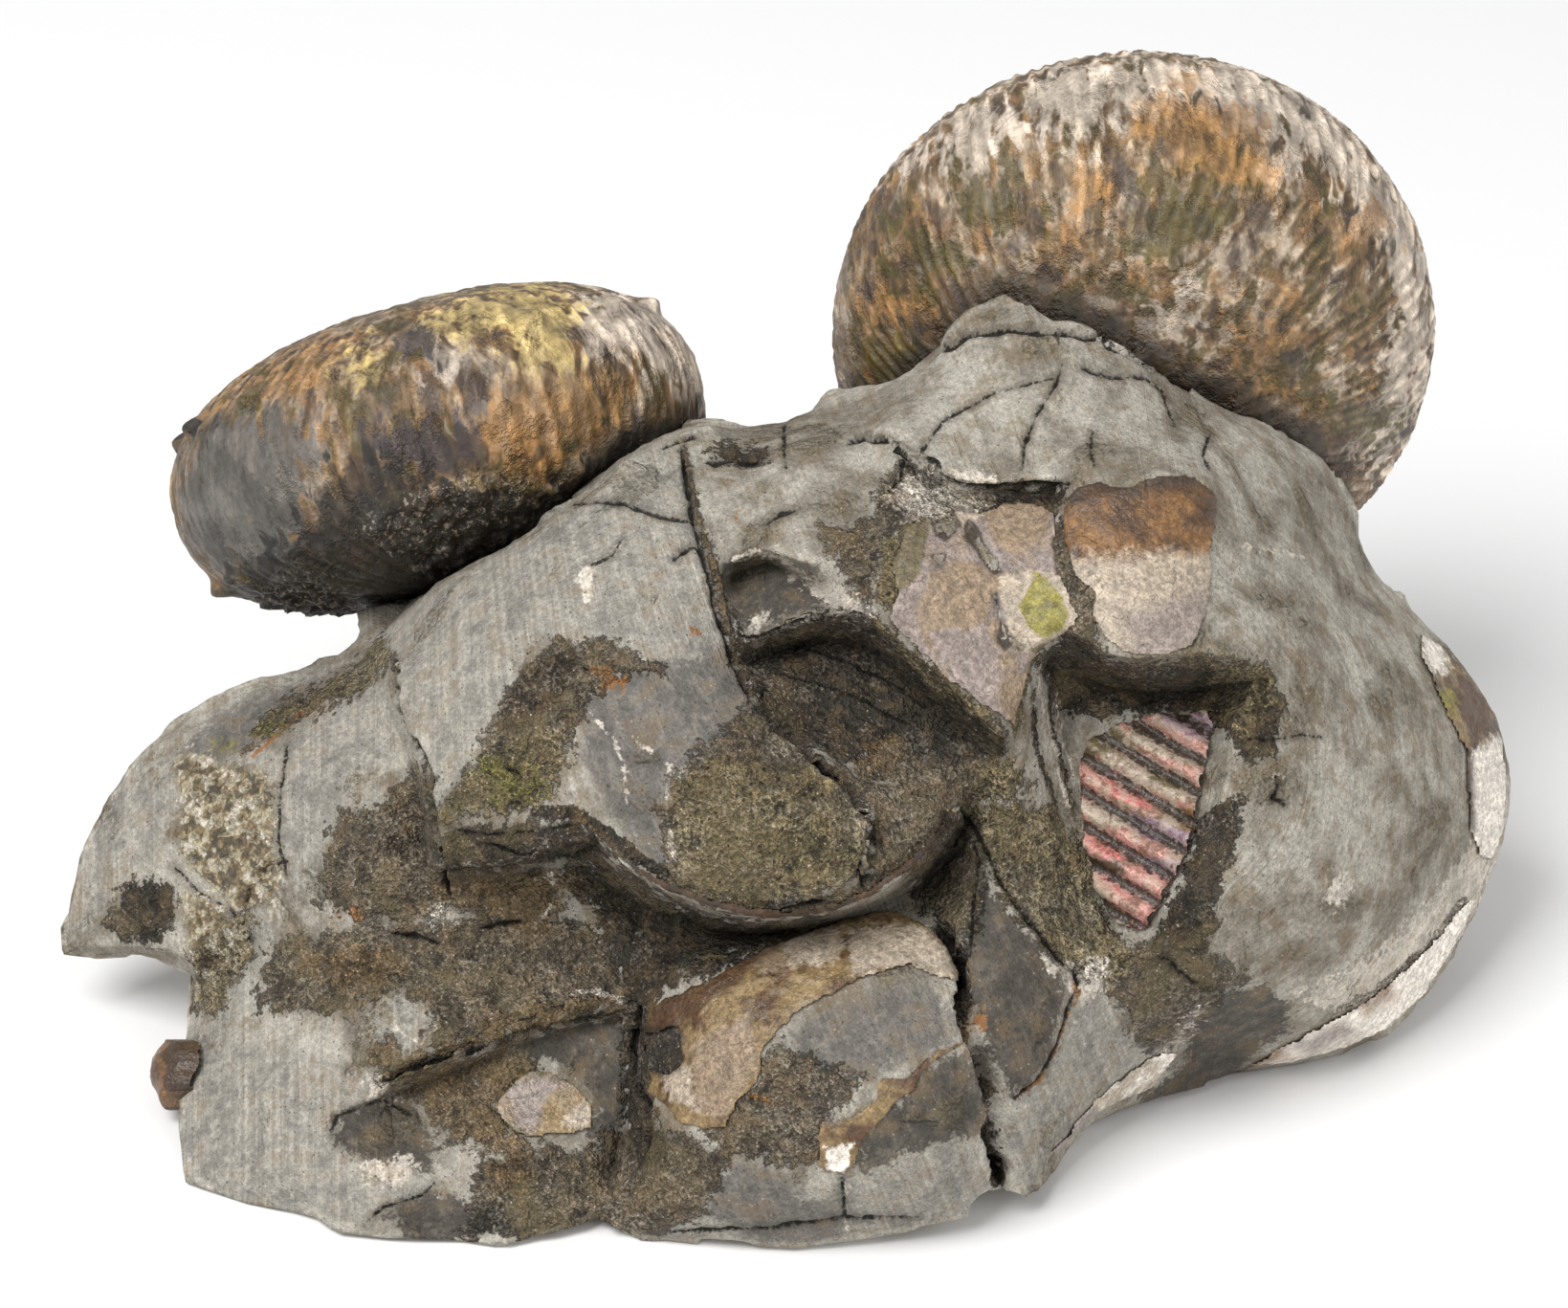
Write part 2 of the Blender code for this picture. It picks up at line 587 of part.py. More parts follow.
def evaluated_mesh(thing):
    """The mesh of an object with its modifiers."""
    graph = bpy.context.evaluated_depsgraph_get()
    return bpy.data.meshes.new_from_object(thing.evaluated_get(graph))


def make_stone(collection, cutters, finish):
    """The lump of stone, with a flat base and a socket for each ammonite."""
    bm = refined(stone_cage())
    roughen(bm)
    stone = add_object("stone", mesh_from(bm, "stone"), collection, finish)
    thin = stone.modifiers.new("fewer faces", "DECIMATE")
    thin.ratio = STONE_TRIANGLES / len(stone.data.polygons)
    cut(stone, base_cutter(cutters))
    for name, place, size in (
        ("large_socket", LARGE_PLACE, (LARGE_DIAMETER, LARGE_THICKNESS)),
        ("small_socket", SMALL_PLACE, (SMALL_DIAMETER, SMALL_THICKNESS)),
    ):
        cut(stone, placed(socket(name, cutters, *size), *place))
    return stone


def felt(tree, ray, place):
    """Where a ray meets the stone at a place, with the stone's normal there leaned back along the ray."""
    start, way = ray(*place)
    point, normal, _, _ = tree.ray_cast(start, way)
    if point is None:
        raise ValueError("a shell reaches past the stone")
    return point, (normal - SHELL_CALM * way).normalized()


def feet_on(tree, ray, places):
    """Each place's point on the stone, its way out, and how far the stone near it stands above it."""
    feet = []
    for place in places:
        point, out = felt(tree, ray, place)
        feet.append((point, out, risen(tree, point, out)))
    return feet


def risen(tree, point, normal):
    """How far the stone near a point stands above the plane square to a normal."""
    rise = 0.0
    side = normal.orthogonal().normalized()
    for step in range(8):
        way = Matrix.Rotation(step * math.tau / 8, 3, normal) @ side
        for distance in (SHELL_REACH / 2, SHELL_REACH):
            over = point + way * distance + normal * SHELL_FEEL
            hit = tree.ray_cast(over, -normal, 2 * SHELL_FEEL)[0]
            if hit is not None:
                rise = max(rise, (hit - point).dot(normal))
    return rise


def eye_ray(right, down):
    """The line of sight through a place on the sheet."""
    eye = SHEET_TO_PART @ Vector((0, 0, EYE_DISTANCE))
    return eye, (on_sheet(right, down, 0) - eye).normalized()


def side_ray(deep, high):
    """A line from the part's left, in millimetres along Y and Z."""
    return metres((-120, deep, high)), Vector((1, 0, 0))


def grid_inside(outline, spacing):
    """The outline with points inside it, clear of the edge, as 2D triangles."""
    ring = [Vector(place) for place in outline]
    low = [min(place[i] for place in ring) for i in (0, 1)]
    high = [max(place[i] for place in ring) for i in (0, 1)]
    places = list(ring)
    edges = [(i, (i + 1) % len(ring)) for i in range(len(ring))]
    lines = [(ring[i], ring[j]) for i, j in edges]
    margin = 0.4 * min(spacing)
    rows = int((high[1] - low[1]) / spacing[1])
    columns = int((high[0] - low[0]) / spacing[0])
    for row in range(1, rows + 1):
        for column in range(columns + 1):
            shift = 0.5 * (row % 2)
            place = Vector((low[0] + (column + shift) * spacing[0], low[1] + row * spacing[1]))
            if inside(place, lines) and min(distance_to(place, line) for line in lines) > margin:
                places.append(place)
    made = delaunay_2d_cdt(places, edges, [], 1, 1e-6)
    return made[0], made[2]


def inside(place, lines):
    """Whether a place is inside a closed run of lines."""
    crossings = 0
    for a, b in lines:
        if (a.y > place.y) != (b.y > place.y):
            crossings += place.x < a.x + (b.x - a.x) * (place.y - a.y) / (b.y - a.y)
    return crossings % 2 == 1


def distance_to(place, line):
    """How far a place is from a line between two points."""
    a, b = line
    along = (place - a).dot(b - a) / (b - a).length_squared
    return (place - a.lerp(b, max(0.0, min(1.0, along)))).length


def turned(place, angle):
    """A place on the sheet turned about the sheet's corner."""
    return Vector(place) @ Matrix.Rotation(angle, 2)


def ribbed_grid(outline):
    """The ribbed shell's places, in rows along its ribs, its faces, and each place's share of a rib."""
    spun = [turned(place, SHELL_RIB_LEAN) for place in outline]
    places, faces = grid_inside(spun, (SHELL_GRID, SHELL_RIB_SPACING / 2))
    low = min(place[1] for place in spun)
    heights = []
    for place in places:
        row = (place[1] - low) / (SHELL_RIB_SPACING / 2)
        heights.append(0.5 - 0.5 * math.cos(math.pi * row))
    return [turned(place, -SHELL_RIB_LEAN) for place in places], faces, heights


def shell_mesh(feet, faces, heights, lifts):
    """A plate over the stone's surface: an under sheet, an outer sheet and the wall between them."""
    bm = bmesh.new()
    under, outer = [], []
    for (point, normal, rise), height, lift in zip(feet, heights, lifts):
        low = point + normal * (SHELL_GAP + rise + lift)
        under.append(bm.verts.new(low))
        outer.append(bm.verts.new(low + normal * (SHELL_THICKNESS + height * SHELL_RIB_HEIGHT)))
    for face in faces:
        bm.faces.new([outer[i] for i in face])
    rim = [e for e in bm.edges if len(e.link_faces) == 1]
    below = dict(zip(outer, under))
    for edge in rim:
        a, b = edge.verts
        bm.faces.new((a, b, below[b], below[a]))
    for face in faces:
        bm.faces.new([under[i] for i in reversed(face)])
    bmesh.ops.recalc_face_normals(bm, faces=bm.faces)
    bm.verts.index_update()
    bm.faces.ensure_lookup_table()
    return bm


def lay_shell(name, collection, finish, tree, ray, places, faces, heights=None):
    """A shell fragment on the stone, lifted where it isn't clear of it."""
    heights = heights or [0.0] * len(places)
    feet = feet_on(tree, ray, places)
    lifts = [0.0] * len(places)
    for _ in range(SHELL_TRIES):
        bm = shell_mesh(feet, faces, heights, lifts)
        touching = {face for face, _ in BVHTree.FromBMesh(bm).overlap(tree)}
        if not touching:
            return add_object(name, mesh_from(bm, name), collection, finish)
        for i in {vert.index // 2 for face in touching for vert in bm.faces[face].verts}:
            lifts[i] += SHELL_LIFT
        bm.free()
    raise ValueError(name + " can't be laid clear of the stone")


def make_shells(collection, stone, finishes):
    """All the shell fragments."""
    solid = evaluated_mesh(stone)
    bm = bmesh.new()
    bm.from_mesh(solid)
    bmesh.ops.triangulate(bm, faces=bm.faces)
    tree = BVHTree.FromBMesh(bm)
    bm.free()
    bpy.data.meshes.remove(solid)
    for name, outline in SHELLS.items():
        heights = None
        if name == "ribbed_shell":
            places, faces, heights = ribbed_grid(outline)
        else:
            places, faces = grid_inside(outline, (SHELL_GRID, SHELL_GRID))
        finish = finishes.get(name, finishes["shell"])
        lay_shell(name, collection, finish, tree, eye_ray, places, faces, heights)
    places, faces = grid_inside(AMBER, (2.6, 2.6))
    lay_shell("amber_fragment", collection, finishes["amber"], tree, side_ray, places, faces)


def centre_on_base(part, cutters):
    """Moves everything so that the middle of the part's box stands at X = Y = 0."""
    bpy.context.view_layer.update()
    spots = []
    for thing in part.objects:
        mesh = evaluated_mesh(thing)
        spots.extend(thing.matrix_world @ vert.co for vert in mesh.vertices)
        bpy.data.meshes.remove(mesh)
    for axis in (0, 1):
        along = [spot[axis] for spot in spots]
        middle = (min(along) + max(along)) / 2
        for thing in (*part.objects, *cutters.objects):
            thing.location[axis] -= middle


def main():
    """Builds the whole part."""
    clear_scene()
    part = bpy.data.collections.new("ammonite_cluster")
    cutters = bpy.data.collections.new("cutters")
    for collection in (part, cutters):
        bpy.context.scene.collection.children.link(collection)
    grey = material("grey_stone", (0.2, 0.19, 0.17), 0.9)
    brown = material("brown_shell", (0.3, 0.2, 0.12), 0.45)
    cream = material("cream_shell", (0.55, 0.47, 0.35), 0.5)
    amber = material("amber_shell", (0.35, 0.15, 0.05), 0.4)
    pink = material("pink_shell", (0.5, 0.25, 0.27), 0.35)
    stone = make_stone(part, cutters, grey)
    large_size = (LARGE_DIAMETER, LARGE_THICKNESS, LARGE_RIBS, LARGE_ROWS)
    small_size = (SMALL_DIAMETER, SMALL_THICKNESS, SMALL_RIBS, SMALL_ROWS)
    placed(ammonite("large_ammonite", part, brown, *large_size), *LARGE_PLACE)
    placed(ammonite("small_ammonite", part, brown, *small_size), *SMALL_PLACE)
    finishes = {
        "shell": cream,
        "amber": amber,
        "ribbed_shell": pink,
        "brown_shell": brown,
        "mottled_shell": brown,
    }
    bpy.context.view_layer.update()
    make_shells(part, stone, finishes)
    centre_on_base(part, cutters)


main()
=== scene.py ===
"""The looks of a cluster of two ammonites grown into one lump of concretion.

It is laid out as an add-on and run as a script. Places on the front are read on a sheet that the
eye looks at squarely: right and down from its corner, in tenths of a millimetre.
"""

import math

import bmesh
import bpy
import numpy as np
from bpy.props import FloatProperty, FloatVectorProperty, IntProperty, PointerProperty
from mathutils import Euler, Matrix, Vector, noise
from mathutils.bvhtree import BVHTree


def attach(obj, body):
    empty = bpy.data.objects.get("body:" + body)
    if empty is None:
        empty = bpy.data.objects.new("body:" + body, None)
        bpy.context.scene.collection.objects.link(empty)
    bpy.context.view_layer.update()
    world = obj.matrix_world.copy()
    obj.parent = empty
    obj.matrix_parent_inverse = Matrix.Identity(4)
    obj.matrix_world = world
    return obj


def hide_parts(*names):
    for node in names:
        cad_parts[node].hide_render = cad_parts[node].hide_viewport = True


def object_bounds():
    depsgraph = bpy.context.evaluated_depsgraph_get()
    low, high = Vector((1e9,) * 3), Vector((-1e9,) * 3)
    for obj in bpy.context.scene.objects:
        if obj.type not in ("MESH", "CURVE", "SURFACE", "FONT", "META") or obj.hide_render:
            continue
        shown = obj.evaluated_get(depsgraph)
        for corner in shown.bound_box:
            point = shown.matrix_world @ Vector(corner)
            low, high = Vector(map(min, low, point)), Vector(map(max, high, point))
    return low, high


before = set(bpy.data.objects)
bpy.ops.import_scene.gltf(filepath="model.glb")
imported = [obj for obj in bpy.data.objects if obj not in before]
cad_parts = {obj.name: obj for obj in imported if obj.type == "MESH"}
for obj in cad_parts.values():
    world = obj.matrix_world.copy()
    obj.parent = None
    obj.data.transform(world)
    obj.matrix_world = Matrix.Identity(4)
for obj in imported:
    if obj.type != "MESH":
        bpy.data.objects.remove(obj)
CAD_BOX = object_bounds()

bl_info = {
    "name": "Ammonite Cluster",
    "version": (1, 0, 0),
    "blender": (4, 5, 0),
    "location": "3D View > Sidebar > Ammonites",
    "description": "Dresses a lump of concretion, its two ammonites and the shell in its face",
    "category": "Object",
}

MM = 0.001

# The sheet, and the eye that looks at it.
STEP = 0.1 * MM
SHEET_CENTRE = (819.5, 683.5)
SHEET_WIDTH = 1639
EYE_DISTANCE = 500 * MM
EYE_PITCH = math.radians(30)
SHEET_ORIGIN = Vector((-0.63, -24.01, 54.2)) * MM
SENSOR = 36
TURN = Matrix.Rotation(math.pi / 2 - EYE_PITCH, 4, "X")
SHEET = Matrix.Translation(SHEET_ORIGIN) @ TURN
TOWARDS = SHEET.to_3x3() @ Vector((0, 0, 1))
EYE = SHEET @ Vector((0, 0, EYE_DISTANCE))

# The stone's mesh.
FINE_EDGE = 1.06 * MM
LINE_EDGE = 0.4 * MM
HIDDEN_EDGE = 2.5 * MM
LINE_ROOM = 4.0  # how far round a crack the mesh is finer, on the sheet
CREASE = math.radians(36)
SPLITS = 7
# Patterns are turned off the axes, because noise along them looks woven.
PATTERN_LEAN = (0.6, 0.5, 0.8)
FAR = 60.0  # a distance on the sheet past which nothing is felt

# The ways that are tried round a place to see how shut in it is, and how far.
SHELTER_WAYS = ((0.9, 0, 0), (-0.9, 0, 0), (0, 0.9, 0), (0, -0.9, 0), (0, 0, 0.9), (0, 0, -0.9))
SHELTER_REACH = 8 * MM

# The finishes of the stone, each with the places where it lies on the sheet.
PATCHES = {
    "pale": [
        [(412, 668), (440, 632), (470, 606), (520, 581), (570, 550), (610, 514), (650, 482),
         (690, 466), (716, 458), (720, 500), (728, 540), (740, 575), (748, 600), (757, 640),
         (762, 670), (740, 690), (700, 692), (670, 688), (650, 670), (620, 668), (600, 676),
         (575, 668), (552, 676), (545, 700), (528, 725), (515, 750), (500, 780), (480, 815),
         (455, 848), (448, 800), (432, 752), (418, 715)],
        [(300, 780), (340, 740), (372, 715), (400, 715), (410, 740), (412, 765), (400, 800),
         (398, 830), (385, 848), (352, 848), (345, 880), (335, 915), (318, 930), (300, 925),
         (290, 895), (283, 850), (288, 810)],
        [(205, 1095), (240, 1090), (300, 1100), (335, 1105), (360, 1120), (388, 1126), (372, 1150),
         (352, 1165), (345, 1200), (352, 1225), (400, 1235), (440, 1240), (460, 1255), (400, 1262),
         (345, 1280), (330, 1262), (290, 1268), (200, 1250), (178, 1200), (180, 1140)],
        [(225, 1040), (262, 945), (290, 950), (270, 1000), (255, 1040), (240, 1085), (200, 1090)],
        [(385, 1055), (420, 1035), (450, 1040), (455, 1070), (440, 1100), (400, 1105),
         (378, 1090)],
        [(882, 1238), (905, 1230), (960, 1212), (985, 1195), (1010, 1188), (1036, 1190),
         (1042, 1235), (1015, 1272), (960, 1285), (880, 1300)],
        [(1065, 1150), (1100, 1125), (1118, 1085), (1125, 1052), (1150, 1040), (1175, 1070),
         (1190, 1100), (1150, 1135), (1110, 1190), (1092, 1235), (1070, 1255), (1056, 1200)],
        [(60, 900), (105, 850), (130, 800), (190, 790), (180, 850), (150, 900), (110, 950),
         (60, 990)],
    ],
    "cool": [
        [(735, 1270), (740, 1240), (760, 1215), (800, 1215), (830, 1245), (870, 1262), (882, 1240),
         (880, 1300), (800, 1300)],
        [(600, 735), (640, 698), (700, 688), (764, 674), (776, 706), (795, 735), (830, 770),
         (800, 790), (740, 790), (700, 810), (695, 850), (705, 900), (690, 925), (655, 890),
         (640, 850), (610, 800)],
        [(370, 690), (300, 715), (230, 745), (180, 790), (230, 800), (290, 770), (360, 730)],
        [(820, 1090), (850, 1060), (905, 1035), (960, 1030), (1000, 1050), (1008, 1085),
         (950, 1105), (900, 1130), (850, 1130)],
    ],
    "grit": [
        [(352, 850), (395, 850), (410, 830), (435, 800), (448, 815), (452, 860), (462, 920),
         (470, 955), (420, 965), (370, 960), (335, 945), (335, 915), (348, 880)],
        [(1000, 520), (1050, 512), (1112, 516), (1118, 560), (1128, 600), (1145, 640), (1150, 668),
         (1110, 676), (1090, 650), (1100, 610), (1096, 560), (1050, 545)],
        [(545, 700), (575, 668), (600, 676), (640, 668), (670, 688), (690, 700), (640, 708),
         (610, 735), (598, 765), (590, 800), (520, 800), (500, 785), (520, 745)],
        [(785, 735), (840, 775), (890, 808), (915, 850), (908, 910), (850, 945), (790, 950),
         (740, 942), (700, 925), (690, 850), (720, 800), (755, 760)],
        [(885, 780), (960, 790), (1045, 785), (1050, 800), (1005, 845), (960, 900), (912, 915),
         (918, 860), (900, 820)],
        [(290, 985), (350, 975), (420, 965), (520, 960), (600, 960), (650, 1000), (656, 1040),
         (600, 1056), (520, 1080), (460, 1100), (440, 1100), (455, 1060), (420, 1030), (380, 1050),
         (330, 1060), (270, 1050), (280, 1010)],
        [(640, 1180), (700, 1190), (760, 1200), (760, 1215), (735, 1270), (680, 1290), (600, 1285),
         (560, 1290), (480, 1290), (500, 1215), (560, 1200), (620, 1205)],
        [(950, 480), (990, 500), (1000, 540), (950, 545), (925, 580), (905, 640), (880, 600),
         (880, 560), (910, 540), (925, 500)],
        [(940, 880), (1000, 850), (1015, 880), (1035, 920), (1020, 970), (1000, 985), (960, 940)],
        [(745, 1165), (790, 1130), (815, 1090), (850, 1110), (900, 1125), (870, 1160), (850, 1215),
         (800, 1215), (760, 1205), (740, 1185)],
        [(1160, 1000), (1210, 985), (1270, 1000), (1300, 1025), (1250, 1055), (1215, 1095),
         (1190, 1090), (1170, 1050), (1150, 1030)],
    ],
    "dark": [
        # Broken faces that face downwards: dark stone, and painted shade on their undersides.
        [(762, 664), (790, 672), (830, 655), (860, 638), (905, 642), (945, 672), (972, 696),
         (1018, 732), (1052, 765), (1050, 790), (1000, 800), (960, 798), (900, 792), (880, 800),
         (840, 775), (800, 748), (780, 720), (768, 690)],
        # Painted shadow: the hollow under the ledge of the brown plate.
        [(1080, 690), (1100, 676), (1130, 658), (1150, 684), (1180, 694), (1215, 696), (1250, 684),
         (1300, 692), (1330, 702), (1340, 740), (1330, 790), (1300, 800), (1280, 760), (1240, 745),
         (1180, 745), (1130, 750), (1105, 740), (1095, 715)],
        [(1255, 850), (1300, 830), (1292, 880), (1270, 950), (1262, 1000), (1220, 990),
         (1215, 970), (1240, 910)],
        # Painted shade: under the overhang below the pale block, and in the recess below it as far
        # as the dome's rim.
        [(455, 875), (500, 862), (560, 862), (600, 858), (625, 870), (640, 905), (590, 900),
         (520, 905), (458, 910)],
        [(590, 905), (640, 900), (690, 935), (740, 955), (800, 965), (870, 955), (820, 985),
         (760, 1000), (700, 1020), (660, 1042), (640, 1000), (625, 950), (600, 935)],
        [(985, 880), (1005, 850), (1018, 870), (1010, 910), (985, 940), (955, 935)],
        [(110, 965), (130, 925), (148, 918), (178, 925), (182, 960), (165, 985), (130, 985)],
        [(740, 472), (770, 486), (802, 478), (800, 470), (760, 462)],
        [(1000, 515), (1060, 512), (1110, 508), (1112, 530), (1060, 535), (1020, 535)],
        [(656, 1058), (690, 1052), (722, 1066), (724, 1120), (700, 1136), (664, 1128)],
        [(556, 690), (600, 680), (602, 704), (566, 748), (532, 770), (520, 750)],
        [(640, 1050), (700, 1008), (770, 984), (810, 980), (770, 1004), (700, 1034), (660, 1064)],
        [(652, 1050), (672, 1050), (680, 1150), (704, 1216), (664, 1220), (650, 1150)],
    ],
    "charcoal": [
        [(748, 588), (760, 584), (790, 572), (801, 582), (822, 594), (885, 630), (852, 637),
         (817, 646), (801, 659), (776, 662), (761, 656)],
        [(1250, 1062), (1300, 1032), (1325, 1030), (1350, 1050), (1345, 1080), (1310, 1100),
         (1290, 1125), (1230, 1150), (1200, 1160), (1195, 1150), (1235, 1110)],
        [(1010, 970), (1022, 900), (1040, 930), (1060, 960), (1095, 990), (1112, 1010),
         (1118, 1040), (1105, 1080), (1090, 1120), (1060, 1148), (1035, 1100), (1012, 1040),
         (1004, 1000)],
        [(905, 1185), (940, 1150), (960, 1125), (1010, 1098), (1032, 1130), (1036, 1182),
         (985, 1193), (930, 1212), (890, 1228)],
        [(350, 1170), (380, 1150), (430, 1155), (450, 1185), (455, 1215), (440, 1230), (380, 1210),
         (350, 1200)],
        [(530, 1092), (600, 1067), (655, 1062), (664, 1110), (655, 1170), (635, 1205), (612, 1190),
         (624, 1160), (610, 1128), (580, 1112), (550, 1108)],
        [(400, 1270), (450, 1245), (520, 1262), (560, 1290), (440, 1300)],
        [(1270, 1035), (1300, 1030), (1290, 1060), (1230, 1090), (1220, 1120), (1205, 1100)],
    ],
    "olive": [
        [(500, 790), (540, 770), (590, 765), (592, 790), (580, 830), (555, 845), (500, 850),
         (460, 868), (455, 850), (480, 820)],
        [(700, 815), (740, 795), (800, 795), (850, 800), (885, 830), (905, 870), (900, 910),
         (850, 935), (790, 940), (740, 930), (710, 900), (700, 850)],
        [(1010, 845), (1050, 840), (1100, 845), (1125, 880), (1145, 930), (1165, 975),
         (1190, 1000), (1160, 1030), (1120, 1020), (1090, 985), (1055, 950), (1035, 900),
         (1015, 880)],
        [(915, 620), (925, 570), (940, 545), (975, 540), (985, 560), (955, 580), (945, 620),
         (960, 650), (935, 655)],
        [(1262, 720), (1268, 694), (1324, 690), (1332, 712), (1322, 752), (1300, 768), (1284, 752),
         (1268, 744)],
        [(370, 700), (400, 665), (412, 690), (380, 720), (345, 740), (290, 760), (265, 765),
         (300, 735), (340, 715)],
        [(1030, 800), (1060, 790), (1080, 820), (1040, 840), (1015, 845)],
        [(200, 1000), (262, 950), (262, 1000), (225, 1060), (205, 1060)],
    ],
    "earth": [
        [(455, 914), (530, 910), (590, 914), (590, 960), (560, 970), (500, 955), (455, 945)],
        [(430, 1122), (470, 1110), (520, 1140), (530, 1180), (560, 1192), (540, 1210), (470, 1190),
         (440, 1150)],
        [(500, 1062), (560, 1050), (640, 1046), (560, 1074), (500, 1088)],
        [(385, 1085), (410, 1090), (420, 1110), (400, 1125), (385, 1110)],
        [(470, 1108), (530, 1096), (562, 1116), (560, 1152), (500, 1154)],
        [(510, 1215), (545, 1205), (560, 1230), (540, 1250), (515, 1245)],
        [(320, 1000), (400, 985), (430, 1010), (400, 1030), (340, 1035)],
        [(860, 550), (890, 552), (905, 570), (870, 575)],
        [(940, 760), (905, 770), (900, 800), (925, 805)],
    ],
    "chalk": [
        [(936, 496), (1000, 492), (1052, 504), (1030, 526), (985, 540), (945, 540), (930, 520)],
        [(860, 600), (890, 620), (912, 640), (895, 652), (870, 640), (840, 612)],
        [(784, 648), (800, 640), (806, 652), (790, 668), (778, 664)],
        [(1210, 1100), (1250, 1055), (1262, 1052), (1235, 1088), (1215, 1115)],
        [(1390, 944), (1394, 920), (1414, 916), (1412, 938), (1398, 948)],
        [(1540, 880), (1560, 900), (1530, 980), (1450, 1040), (1400, 1060), (1360, 1040),
         (1440, 1000), (1500, 940)],
        [(607, 592), (618, 590), (614, 620), (606, 616)],
        [(455, 945), (478, 950), (474, 965), (455, 962)],
        [(385, 1120), (410, 1130), (412, 1150), (385, 1148)],
        [(380, 1218), (420, 1208), (440, 1218), (428, 1234), (385, 1234)],
        [(1085, 1000), (1120, 1010), (1160, 1000), (1150, 1040), (1125, 1042)],
    ],
    "rust": [
        [(560, 1182), (556, 1168), (570, 1160), (574, 1176)],
        [(618, 697), (640, 697), (655, 712), (652, 722), (632, 718)],
        [(348, 952), (372, 948), (378, 958), (360, 966)],
        [(1018, 1062), (1028, 1058), (1030, 1075), (1022, 1080)],
        [(762, 532), (770, 532), (770, 542), (762, 541)],
        [(722, 656), (730, 655), (732, 664), (725, 666)],
    ],
    "crystal": [
        [(178, 800), (200, 786), (225, 800), (262, 800), (290, 830), (284, 870), (292, 910),
         (280, 945), (250, 950), (225, 930), (196, 905), (184, 870), (196, 840)],
        [(196, 930), (240, 955), (262, 960), (240, 1010), (205, 1040), (196, 990)],
    ],
    "moss": [
        [(225, 775), (245, 770), (248, 784), (230, 788)],
        [(262, 765), (285, 755), (300, 758), (280, 770)],
        [(490, 790), (560, 800), (575, 830), (520, 845)],
        [(940, 630), (960, 625), (966, 650), (945, 655)],
    ],
}

